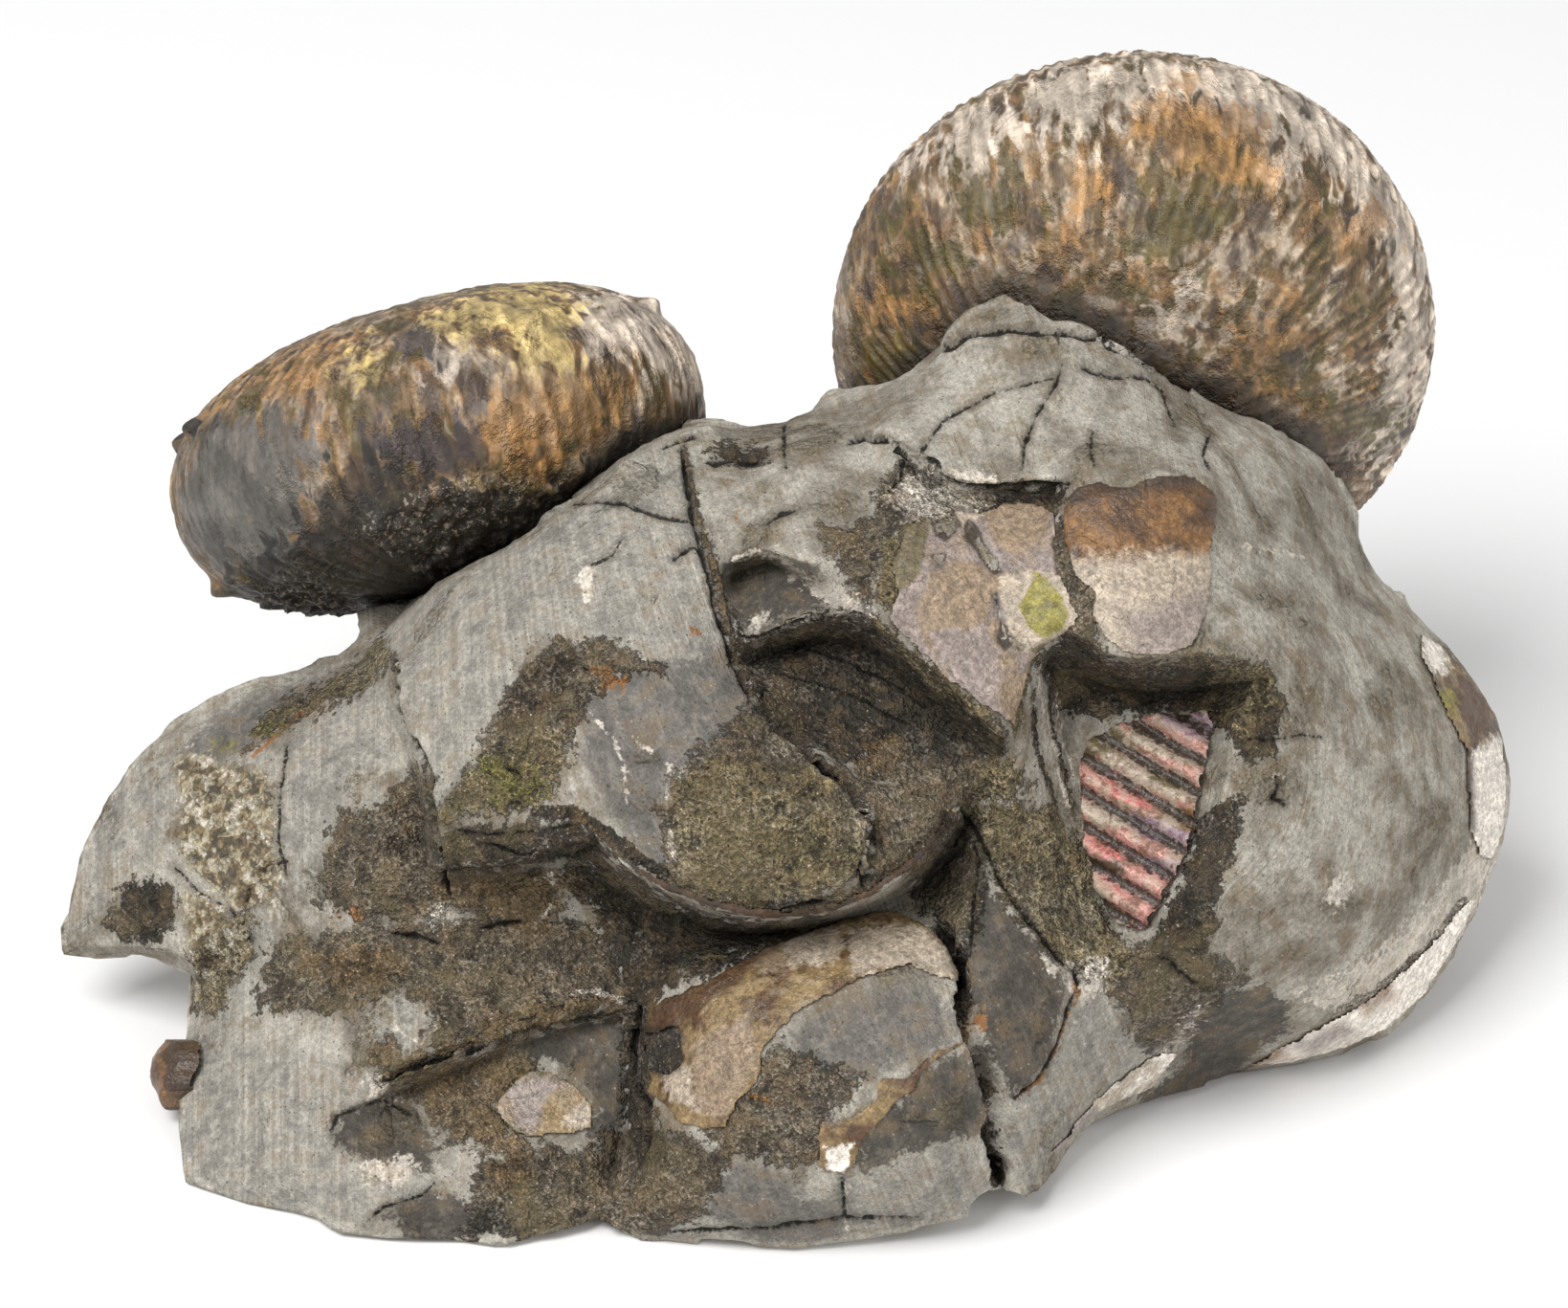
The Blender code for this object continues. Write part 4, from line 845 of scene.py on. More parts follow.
def chips(places, size, seed):
    """The rise of a surface broken into small tilted facets, from about -1 to 1."""
    shift = Vector((seed * 5.1, seed * 2.3, seed * 9.7))
    rises = []
    for place in places:
        spot = Vector(place) / (size * MM) + shift
        _, centres = noise.voronoi(spot)
        tilt = noise.noise_vector(centres[0] * 3.7)
        rises.append((spot - centres[0]).dot(tilt) * 2.4)
    return np.clip(rises, -1, 1)


def ease(values, low, high):
    """A soft step from 0 at low to 1 at high."""
    t = np.clip((values - low) / (high - low), 0, 1)
    return t * t * (3 - 2 * t)


def add_field(mesh, name, values):
    """Keeps a number for each vertex, for a finish to read."""
    made = mesh.attributes.new(name, "FLOAT", "POINT")
    made.data.foreach_set("value", np.asarray(values, np.float32))


def add_vectors(mesh, name, vectors):
    """Keeps a vector for each vertex, for a finish to read."""
    made = mesh.attributes.new(name, "FLOAT_VECTOR", "POINT")
    made.data.foreach_set("vector", np.asarray(vectors, np.float32).ravel())


def mesh_from(bm, name, sharp=None):
    """The bmesh as a mesh with smooth faces, which frees the bmesh."""
    for face in bm.faces:
        face.smooth = True
    mesh = bpy.data.meshes.new(name)
    bm.to_mesh(mesh)
    bm.free()
    if sharp:
        mesh.set_sharp_from_angle(angle=sharp)
    return mesh


def add_piece(name, mesh, finish, slot, *nodes):
    """A finished piece that stands for its CAD nodes, kept inside the CAD's box."""
    places = places_of(mesh)
    mesh.vertices.foreach_set("co", np.clip(places, *np.array(CAD_BOX)).ravel())
    mesh.materials.append(finish)
    piece = bpy.data.objects.new(name, mesh)
    bpy.context.scene.collection.objects.link(piece)
    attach(piece, "root")
    if nodes:
        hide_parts(*nodes)
    return piece


CAD_WELD = 0.002 * MM


def merged_copy(node):
    """A CAD node's mesh with its doubles merged."""
    bm = bmesh.new()
    bm.from_mesh(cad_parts[node].data)
    bmesh.ops.remove_doubles(bm, verts=bm.verts, dist=CAD_WELD)
    return bm


def tree_of(*meshes):
    """What a ray may meet, from several meshes."""
    bm = bmesh.new()
    for mesh in meshes:
        bm.from_mesh(mesh)
    tree = BVHTree.FromBMesh(bm)
    bm.free()
    return tree


def stripes(spots):
    """Across the lines that the stone was worn along, in millimetres, curved as they are."""
    right, down = spots[:, 0], spots[:, 1]
    fan = right - 0.0013 * np.clip(right - 450, 0, 300) * (down - 640)
    arc = np.hypot(right - 1190, down - 800)
    side = ease(right, 1180, 1290)
    return (fan * (1 - side) + (arc + 1190) * side) * STEP / MM


def split_long(bm, runs):
    """Splits long edges until the mesh is fine enough to carve, rounding it between its creases."""
    for _ in range(SPLITS):
        bm.verts.index_update()
        places = corners(bm)
        normals = outward(bm)
        ends = np.array([[vert.index for vert in edge.verts] for edge in bm.edges])
        lengths = np.linalg.norm(places[ends[:, 0]] - places[ends[:, 1]], axis=1)
        facing = normals[ends].mean(1) @ np.array(TOWARDS)
        limit = np.full(len(ends), HIDDEN_EDGE)
        fronts = np.where((facing > 0) & (lengths > LINE_EDGE))[0]
        limit[fronts] = FINE_EDGE
        spots, _ = seen(places[ends[fronts]].mean(1))
        close = np.min([to_run(spots, run)[0] for run in runs], 0) < LINE_ROOM
        limit[fronts[close]] = LINE_EDGE
        chosen = [edge for edge, split in zip(bm.edges, lengths > limit) if split]
        if not chosen:
            break
        bmesh.ops.subdivide_edges(bm, edges=chosen, cuts=1, use_grid_fill=True)
        bmesh.ops.triangulate(bm, faces=[face for face in bm.faces if len(face.verts) > 3])
        held = {vert for edge in bm.edges if not edge.smooth for vert in edge.verts}
        smoothed(bm, [vert for vert in bm.verts if vert not in held], 2)


SHELTER_START = 0.4 * MM


def sheltered(tree, places, normals):
    """How much of the space round each place is shut in, from 0 to 1."""
    sides = [Vector(way) for way in SHELTER_WAYS]
    result = []
    for place, normal in zip(places, normals):
        normal = Vector(normal)
        start = Vector(place) + normal * SHELTER_START
        hits = [
            tree.ray_cast(start, normal + side, SHELTER_REACH)[0] is not None for side in sides
        ]
        result.append(sum(hits) / len(hits))
    return np.array(result)


def spread(bm, values, times):
    """Values evened out between neighbours."""
    ends = np.array([[vert.index for vert in edge.verts] for edge in bm.edges])
    count = np.bincount(ends.ravel(), minlength=len(values))
    for _ in range(times):
        total = np.bincount(ends[:, 0], values[ends[:, 1]], len(values))
        total += np.bincount(ends[:, 1], values[ends[:, 0]], len(values))
        values = (values + total / count) / 2
    return values


CARVED_CREASE = math.radians(48)
FOOT = (0.2 * MM, 2.5 * MM)  # the heights between which the carving begins above the floor


class FOSSIL_OT_stone(bpy.types.Operator):
    """Carves the stone's cracks, broken faces and pores, and gives it its finishes"""

    bl_idname = "fossil.stone"
    bl_label = "Stone"

    def execute(self, context):
        looks = context.scene.fossil_stone
        bm = merged_copy("stone")
        for edge in bm.edges:
            edge.smooth = edge.calc_face_angle(0) < CREASE
        runs = [run for run, _, _ in LINES.values()]
        runs += [run for veins in VEINS.values() for run, _ in veins]
        split_long(bm, runs)
        fields = self.carve(bm, looks)
        mesh = mesh_from(bm, "concretion", CARVED_CREASE)
        for name, values in fields.items():
            add_field(mesh, name, values)
        add_piece("concretion", mesh, stone_finish(looks), "grey_stone", "stone")
        return {"FINISHED"}

    def carve(self, bm, looks):
        """Moves the vertices, and gives the fields that the finish reads."""
        places = corners(bm)
        normals = outward(bm)
        spots, _ = seen(places)
        facing = normals @ np.array(TOWARDS)
        front = ease(facing, -0.05, 0.2)
        fields = {name: within_any(spots, outlines) for name, outlines in PATCHES.items()}
        for name, veins in VEINS.items():
            for run, half in veins:
                inside = half - to_run(spots, run)[0] * STEP / MM
                fields[name] = np.maximum(fields[name], inside * 3)
        for name in fields:
            fields[name] = np.minimum(fields[name], (front - 0.5) * 4)
        rough = np.max([ease(fields[name], -0.5, 0.5) for name in ("dark", "grit", "olive")], 0)
        worn = ease(np.maximum(fields["pale"], fields["charcoal"]), -0.5, 0.5)
        standing = ease(places[:, 2], *FOOT)
        calm = (1 - rough) * (1 - 0.6 * worn)
        rise = looks.ground_lumps * (0.35 + 0.65 * calm) * rumble(places, 2.6, 1, 3)
        relief = 0.6 * chips(places, 2.3, 2) + 0.5 * rumble(places, 1.1, 3, 3)
        rise += rough * looks.break_lumps * relief
        away = 1 - front
        rise += away * looks.back_lumps * (
            0.6 * chips(places, 6.5, 4) + 0.5 * rumble(places, 3.4, 5, 3)
        )
        crystals = ease(fields["crystal"], -0.2, 0.5)
        rise += crystals * 0.7 * MM * np.abs(chips(places, 1.5, 6))
        places = places + normals * (rise * standing)[:, None]
        gap = np.full(len(places), 4.0)
        wobble = 1.6 * rumble(places, 1.6, 8, 2)
        uneven = 0.75 + 0.5 * rumble(places, 3.0, 9, 2)
        for run, half, depth in LINES.values():
            apart, ends = to_run(spots, run)
            across = np.abs(apart + wobble) * STEP / MM
            taper = 0.3 + 0.7 * ease(ends, 0, TAPER)
            wide = half * np.clip(uneven, 0.4, 1.3) * taper
            cut = np.clip(1 - across / (1.9 * wide), 0, 1) * front * taper
            places -= normals * (cut * depth * MM * standing)[:, None]
            if depth > 0:
                gap = np.minimum(gap, across - 0.55 * wide + (1 - front) * 4)
        move(bm, places)
        fields["gap"] = gap
        fields["front"] = front
        fields["stripe"] = stripes(spots)
        fields["hollow"] = spread(bm, self.hollows(bm), 5)
        own = bpy.data.meshes.new("carved")
        bm.to_mesh(own)
        tree = tree_of(own, *(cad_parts[name].data for name in
                              ("large_ammonite", "small_ammonite")))
        bpy.data.meshes.remove(own)
        # How shut in each place is, by the stone and the ammonites; the finish paints shade from
        # it.
        fields["shelter"] = spread(bm, sheltered(tree, places, outward(bm)), 3)
        return fields

    @staticmethod
    def hollows(bm):
        """How far each vertex lies below its neighbours, in tenths of a millimetre."""
        bm.verts.index_update()
        places = corners(bm)
        lower = np.column_stack([spread(bm, places[:, i], 1) for i in range(3)]) - places
        return (lower * outward(bm)).sum(1) * 2 / (0.1 * MM)


# How soft the border of each finish is, and how much of it is left out inside.
BORDERS = {
    "pale": (0.7, 0.3), "cool": (0.8, 0.4), "grit": (0.45, 0.3), "charcoal": (0.35, 0.25),
    "dark": (0.3, 0.15), "olive": (0.4, 0.35), "earth": (0.7, 0.4), "chalk": (0.4, 0.4),
    "rust": (0.2, 0.2), "crystal": (0.4, 0.4), "moss": (0.6, 0.5),
}


def darker(tint, amount):
    """A tint with its light cut down."""
    return [part * amount for part in tint]


def stone_finish(looks):
    """Grey concretion with its broken, porous, crusted and worn faces."""
    f = Finish("concretion")
    grain = f.noise(f.mm, 5.0, 0.0)
    fine = f.noise(f.mm, 1.7, 2.0, 0.7)
    mottle = f.noise(f.mm, 0.55, 3.0, 0.66)
    cloud = f.noise(f.mm, 0.11, 4.0, 0.6, 0.4)
    other = f.noise(f.vector("ADD", f.mm, (40.0, 9.0, 5.0)), 0.3, 3.0, 0.65)
    ragged = f.value("ADD", f.times_add(mottle, 7.0, -3.5), f.times_add(fine, 3.6, -1.8))
    bent = f.vector("ADD", f.mm, f.vector("MULTIPLY", f.joined(fine, mottle, fine),
                                          (0.8, 0.8, 0.8)))
    flats, lot, _ = f.facets(bent, 0.33)
    chips, chance, middle = f.facets(bent, 1.0)
    sheet = f.parts(f.turned(f.place, EYE_PITCH - math.pi / 2))
    streak_place = f.joined(f.times(f.field("stripe"), 1.9), f.times(sheet[1], 0.025 / MM), 0.41)
    streak = f.noise(streak_place, 1.0, 2.0, 0.75)
    tint = f.mix(f.span(cloud, 0.38, 0.62), looks.ground, looks.deep)
    tint = f.mix(f.times(f.span(mottle, 0.5, 0.68), 0.34), tint, looks.deep)
    masks = {}
    for name, (soft, left) in BORDERS.items():
        inside = f.times_add(ragged, 0.5 + 0.5 * soft, f.field(name))
        masks[name] = f.span(inside, -soft, soft)
        tone = getattr(looks, name)
        varied = f.mix(f.span(other, 0.32, 0.68), darker(tone, 0.66), darker(tone, 1.32))
        varied = f.mix(f.times(f.span(mottle, 0.55, 0.66), left), varied, looks.deep)
        tint = f.mix(f.times(masks[name], 1 - 0.3 * left), tint, varied)
    broken = f.value("MAXIMUM", masks["grit"], f.value("MAXIMUM", masks["dark"], masks["olive"]))
    broken = f.value("MAXIMUM", broken, f.times(masks["earth"], 0.8))
    broken = f.value("MAXIMUM", broken, f.span(cloud, 0.58, 0.66, 0.0, 0.5))
    worn = f.value("SUBTRACT", 1.0, f.times(broken, 0.9))
    for most, number in ((0.5, chance), (0.4, lot)):
        tint = f.scaled(tint, f.times_add(f.times(broken, most),
                                          f.value("SUBTRACT", number, 0.5), 1.0))
    patchy = f.span(other, 0.35, 0.6, 0.3, 1.0)
    lines = f.times(f.span(streak, 0.3, 0.7, -1.0, 1.0), worn)
    lines = f.times(lines, patchy)
    tint = f.scaled(tint, f.times_add(lines, f.times_add(masks["pale"], 0.06, 0.16), 1.0))
    tint = f.uneven(tint, mottle, 0.14, 0.16)
    busy = f.times_add(broken, 0.6, 0.4)
    for pattern, amount in ((grain, 0.34), (fine, 0.36)):
        speckle = f.span(pattern, 0.32, 0.68, -amount, amount)
        tint = f.scaled(tint, f.times_add(speckle, busy, 1.0))
    rubble = f.span(f.noise(f.mm, 2.1, 1.0, 0.7), 0.3, 0.7, -0.5, 0.5)
    strong = f.times_add(broken, 0.5, 0.15)
    tint = f.scaled(tint, f.times_add(rubble, strong, 1.0))
    tint = f.mix(f.times(f.span(other, 0.5, 0.64), 0.45), tint, looks.earth)
    for pattern, low, high, most, tone in (
        (mottle, 0.56, 0.64, 0.5, looks.earth),
        (mottle, 0.44, 0.36, 0.6, darker(looks.dark, 0.5)),
        (cloud, 0.52, 0.6, 0.4, looks.olive),
        (cloud, 0.46, 0.38, 0.4, looks.charcoal),
    ):
        amount = f.times(broken, f.span(pattern, low, high, 0.0, most))
        tint = f.mix(amount, tint, tone)
    dust = f.times(f.span(lot, 0.62, 0.7), f.span(rubble, 0.0, 0.35, 0.0, 0.15))
    tint = f.mix(f.times(broken, dust), tint, looks.chalk)
    # White mineral specks with painted glints: lighter, glossier dots, left out where the stone is
    # shut in and shaded.
    spotted = f.value("MAXIMUM", f.span(other, 0.46, 0.6, 0.0, 0.6), f.times(broken, 0.9))
    speck, kind = f.cells(f.mm, 1.9)
    white = f.times(f.span(speck, 0.24, 0.12), f.value("GREATER_THAN", kind, 0.4))
    out_of_shade = f.span(f.field("shelter"), 0.55, 0.15, 0.15, 1.0)
    painted_glints = f.times(f.times(white, spotted), f.times(out_of_shade, f.span(rubble, -0.3, 0.3)))
    tint = f.mix(f.times(painted_glints, 0.85), tint, looks.chalk)
    black = f.times(f.value("LESS_THAN", speck, 0.22), f.value("LESS_THAN", kind, 0.14))
    tint = f.mix(f.times(black, 0.65), tint, darker(looks.dark, 0.45))
    # Pores, pressed in only by bump, painted near black as the shade in pits.
    pores = f.value("LESS_THAN", middle, f.span(other, 0.4, 0.6, 0.1, 0.26))
    pores = f.times(pores, masks["olive"])
    tint = f.mix(f.times(pores, 0.8), tint, darker(looks.dark, 0.3))
    # Painted highlight on raised spots and painted shade in hollows, from how far each vertex lies
    # below its neighbours.
    tint = f.scaled(tint, f.span(f.field("hollow"), -0.2, -0.7, 1.0, 1.25))
    tint = f.mix(f.span(f.field("hollow"), 0.2, 0.8, 0.0, 0.5), tint, darker(looks.dark, 0.5))
    # Painted shade: darker where the space round a place is shut in, by the stone or the ammonites.
    shelter = f.times_add(ragged, 0.05, f.field("shelter"))
    tint = f.mix(f.span(shelter, 0.2, 0.9, 0.0, 0.5), tint, darker(looks.dark, 0.6))
    # Painted shade in the carved cracks: darker round them and near black at their bottom.
    gap = f.times_add(f.value("SUBTRACT", fine, 0.5), 0.5, f.field("gap"))
    tint = f.mix(f.span(gap, 0.9, 0.1, 0.0, 0.35), tint, looks.dark)
    tint = f.mix(f.span(gap, 0.16, 0.0, 0.0, 0.94), tint, darker(looks.dark, 0.12))
    behind = f.value("SUBTRACT", 1.0, f.field("front"))
    crust = f.mix(f.span(other, 0.4, 0.6), looks.grit, looks.earth)
    patch = f.times(behind, f.span(cloud, 0.46, 0.6))
    tint = f.mix(f.times(patch, 0.7), tint, crust)
    height = f.times(fine, 0.3)
    height = f.times_add(lines, 0.05, height)
    mixed = f.value("ADD", f.times(chance, 0.45), f.times_add(mottle, 1.6, -0.5))
    grains = f.mix(f.span(mixed, 0.3, 0.45), darker(looks.dark, 0.8), looks.earth)
    grains = f.mix(f.span(mixed, 0.45, 0.6), grains, looks.crystal)
    grains = f.mix(f.span(mixed, 0.66, 0.8), grains, looks.chalk)
    grains = f.uneven(grains, fine, 0.45)
    tint = f.mix(f.times(masks["crystal"], 0.8), tint, grains)
    height = f.times_add(f.times(chips, masks["crystal"]), 1.1, height)
    cracked = f.value("ADD", f.times(flats, 0.7), f.times(chips, 0.7))
    cracked = f.times_add(mottle, 2.2, cracked)
    height = f.times_add(cracked, f.times(broken, 1.3), height)
    height = f.times_add(pores, -0.4, height)
    height = f.times_add(broken, -0.45, height)
    height = f.times_add(f.times(rubble, broken), 0.3, height)
    normal = f.bump(height)
    roughness = f.times_add(painted_glints, -0.45, 0.8)
    return f.done(tint, roughness, normal, specular=0.35)


# The ammonites, as the CAD has them: centre, coiling axis and the way the opening faces.
WHORL_STEP = 0.1
UMBILICUS = 0.17
UMBILICUS_DEPTH = 0.45
COIL_TURNS = 640
COIL_ROWS = 140
LARGE_AMMONITE = {
    "place": (on_sheet(1176, 349, -47 * MM), eye_frame(0.04, -0.67, 0.74),
              eye_frame(0.35, -0.8, -0.45)),
    "diameter": 72 * MM,
    "thickness": 46 * MM,
    "knobs": 0,
    "tones": LARGE_TONES,
}
SMALL_AMMONITE = {
    "place": (on_sheet(466, 468, -44 * MM), eye_frame(-0.27, 0.96, -0.04),
              eye_frame(0.62, 0.2, -0.75)),
    "diameter": 66 * MM,
    "thickness": 33 * MM,
    "knobs": 15,
    "tones": SMALL_TONES,
}
COIL_WELD = 0.001 * MM
SECTION = (0.8, 0.92)  # how square the whorl's section is, across and along
CREST = 1.3  # how narrow the crest of a rib is
KNOB_RISE = 0.52
KNOB_SIZE = 1.5 * MM
CONTACT_REACH = 5 * MM
# How strongly each tone covers the shell, in the order in which they are laid on.
TONE_STRENGTH = {
    "rim": 0.75, "silver": 0.65, "orange": 0.7, "gold": 0.8, "green": 0.85, "violet": 0.92,
    "mould": 0.92, "crumb": 0.92, "dark": 0.92,
}


def coiled(shape, ribs, looks):
    """A coiled shell's bmesh and the fields its finish reads."""
    bm = bmesh.new()
    bmesh.ops.create_grid(bm, x_segments=COIL_TURNS, y_segments=COIL_ROWS, size=1)
    flat = corners(bm)
    steps = np.round((flat[:, 0] + 1) / 2 * COIL_TURNS) % COIL_TURNS
    turn = steps * math.tau / COIL_TURNS
    rise = flat[:, 1] * math.pi / 2
    across = np.clip(np.cos(rise), 0, None) ** SECTION[0]
    along = np.copysign(np.abs(np.sin(rise)) ** SECTION[1], rise)
    hollow = np.clip(1 - across / (2.4 * UMBILICUS), 0, None)
    whorl = np.exp(-(((across - 0.13 - 0.1 * turn / math.tau) / 0.05) ** 2))
    height = shape["thickness"] / 2 * along * (
        1 - UMBILICUS_DEPTH * hollow**2 + 0.1 * whorl * (hollow > 0)
    )
    radius = shape["diameter"] / 2 * (1 - WHORL_STEP * turn / math.tau)
    local = np.column_stack(
        (radius * across * np.cos(turn), radius * across * np.sin(turn), height)
    )
    coil = (local / MM * (1, 1, 0.45)) @ np.array(Euler(PATTERN_LEAN).to_matrix())
    bend = 0.10 * np.cos(2 * rise) + 0.03 * rumble(local, 9, 11)
    flank = ease(np.abs(rise), 0.75, 1.15)
    many = wave(ribs * (turn + bend))
    few = wave(ribs / 3 * (turn + bend))
    rib = many * (1 - flank) + few * flank * 0.8
    centre, axis, opening = shape["place"]
    side = axis.cross(opening).normalized()
    stand = Matrix((side.cross(axis), side, axis)).transposed()
    world = local @ np.array(stand.transposed()) + np.array(centre)
    spots, _ = seen(world)
    out = local / np.linalg.norm(local, axis=1)[:, None]
    facing = (out @ np.array(stand.transposed())) @ np.array(TOWARDS)
    front = ease(facing, -0.25, 0.05)
    fields = {}
    for name in TONE_STRENGTH:
        outlines = shape["tones"].get(name)
        inside = within_any(spots, outlines) if outlines else np.full(len(spots), -6.0)
        fields[name] = np.minimum(inside, (front - 0.5) * 8)
    bare = ease(fields["mould"], -1, 1.5)
    crumb = ease(fields["crumb"], -1, 1)
    wear = ease(rumble(local, 6, 12, 3), -0.5, 0.35)
    strength = np.clip(1.6 * np.cos(rise), 0, 1) * (0.2 + 0.8 * wear) * (1 - 0.8 * bare)
    grow = looks.rib_height * (rib - 0.55) * strength * (1 - 0.7 * crumb)
    grow += 0.2 * MM * rumble(local, 3.5, 13, 4) - 0.14 * MM
    grow += crumb * 0.9 * MM * rumble(local, 1.8, 14, 3)
    for i in range(shape["knobs"]):
        at = (i + 0.5) * math.tau / shape["knobs"]
        round_it = (turn - at + math.pi) % math.tau - math.pi
        for row in (-KNOB_RISE, KNOB_RISE):
            apart = np.hypot(round_it * radius, (rise - row) * shape["thickness"] * 0.62)
            grow += looks.knob_height * np.exp(-((apart / KNOB_SIZE) ** 2))
    world = world + (out @ np.array(stand.transposed())) * grow[:, None]
    move(bm, world)
    if bm.calc_volume(signed=True) < 0:
        bmesh.ops.reverse_faces(bm, faces=bm.faces[:])
    fields["rib"] = rib * strength
    # Painted shade in the navel, lighter on the inner whorl; near the stone, partly crust and
    # partly painted shade where it meets the shell.
    navel_shade = 0.5 * (1 - ease(across, 0.06, 0.34)) * (1 - 0.6 * whorl)
    fields["contact"] = np.maximum(nearness(world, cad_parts["stone"].data), navel_shade)
    return bm, fields, coil


def nearness(places, mesh):
    """How near each place is to a mesh, from 1 on it to 0 well away."""
    tree = tree_of(mesh)
    apart = [tree.find_nearest(Vector(place), CONTACT_REACH)[3] for place in places]
    apart = np.array([CONTACT_REACH if gap is None else gap for gap in apart])
    return 1 - apart / CONTACT_REACH


def welded(mesh):
    """Merges a mesh's doubled vertices, which closes it."""
    bm = bmesh.new()
    bm.from_mesh(mesh)
    bmesh.ops.remove_doubles(bm, verts=bm.verts, dist=COIL_WELD)
    bm.to_mesh(mesh)
    bm.free()


def wave(phase):
    """Ribs with narrow crests and wider grooves, from 0 to 1."""
    return (0.5 + 0.5 * np.cos(phase)) ** CREST


def ammonite_finish(name, looks):
    """Streaked mother-of-pearl, brown, orange and green along the ribs."""
    f = Finish(name)
    coil = f.field("coil", vector=True)
    broad = f.noise(coil, 0.16, 3.0, 0.6, 0.8)
    blot = f.noise(coil, 0.4, 3.0, 0.62, 0.8)
    streak = f.noise(f.vector("MULTIPLY", coil, (1.0, 1.0, 0.6)), 0.6, 2.0, 0.6)
    fine = f.noise(f.mm, 1.5, 2.0, 0.7)
    other = f.noise(f.vector("ADD", coil, (50.0, 3.0, 8.0)), 0.3, 3.0, 0.6)
    third = f.noise(f.vector("ADD", coil, (9.0, 70.0, 4.0)), 0.26, 3.0, 0.6)
    light = f.times_add(broad, 0.4, f.times_add(blot, 0.35, f.times(streak, 0.25)))
    tint = f.mix(f.span(light, 0.4, 0.48), darker(looks.brown, 0.45), looks.brown)
    tint = f.mix(f.times(f.span(light, 0.47, 0.58), 0.85), tint, looks.pearl)
    tint = f.mix(f.times(f.span(other, 0.53, 0.63), 0.55), tint, looks.orange)
    tint = f.mix(f.times(f.span(third, 0.52, 0.6), 0.75), tint, looks.green)
    tint = f.mix(f.times(f.span(third, 0.45, 0.37), 0.6), tint, looks.violet)
    ragged = f.value("ADD", f.times_add(blot, 26.0, -13.0), f.times_add(streak, 16.0, -8.0))
    for tone in TONE_STRENGTH:
        inside = f.times_add(ragged, 0.5, f.field(tone))
        mask = f.times(f.span(inside, -1.0, 1.2), TONE_STRENGTH[tone])
        shown = getattr(looks, tone)
        varied = f.mix(f.span(other, 0.38, 0.62), darker(shown, 0.72), darker(shown, 1.25))
        tint = f.mix(mask, tint, varied)
    bent = f.vector("ADD", f.mm, f.vector("MULTIPLY", f.joined(fine, blot, fine), (2.5, 2.5, 2.5)))
    flakes, chance, _ = f.facets(bent, 0.4)
    tint = f.scaled(tint, f.span(chance, 0.0, 1.0, 0.8, 1.2))
    # Painted highlight on the rib crests and painted shade in the grooves.
    tint = f.scaled(tint, f.span(f.field("rib"), 0.0, 0.8, 0.78, 1.14))
    tint = f.uneven(tint, streak, 0.2, 0.14)
    tint = f.uneven(tint, fine, 0.14)
    flecks = f.times(f.span(f.field("crumb"), -1.0, 0.5), f.span(fine, 0.55, 0.66))
    tint = f.mix(f.times(flecks, 0.55), tint, looks.pearl)
    # Darker near the stone, partly crust and partly painted shade, and painted shade in the navel.
    contact_crust_and_shade = f.times_add(ragged, 0.04, f.field("contact"))
    tint = f.mix(f.span(contact_crust_and_shade, 0.15, 0.85, 0.0, 0.85), tint, looks.dark)
    height = f.times_add(flakes, 0.5, f.times(fine, 0.22))
    height = f.times_add(streak, 0.3, height)
    normal = f.bump(height)
    roughness = f.span(blot, 0.35, 0.65, 0.42, 0.7)
    return f.done(tint, roughness, normal, specular=0.5, coat=0.1, coat_roughness=0.4)


class FOSSIL_OT_ammonites(bpy.types.Operator):
    """Ribs, knobs and mother-of-pearl on the two ammonites"""

    bl_idname = "fossil.ammonites"
    bl_label = "Ammonites"

    def execute(self, context):
        looks = context.scene.fossil_ammonites
        for name, shape, ribs in (
            ("large_ammonite", LARGE_AMMONITE, looks.large_ribs),
            ("small_ammonite", SMALL_AMMONITE, looks.small_ribs),
        ):
            bm, fields, coil = coiled(shape, ribs, looks)
            mesh = mesh_from(bm, name + "_shell")
            for field, values in fields.items():
                add_field(mesh, field, values)
            add_vectors(mesh, "coil", coil)
            welded(mesh)
            finish = ammonite_finish(name, looks)
            add_piece(name + "_shell", mesh, finish, "ammonite_shell", name)
        return {"FINISHED"}


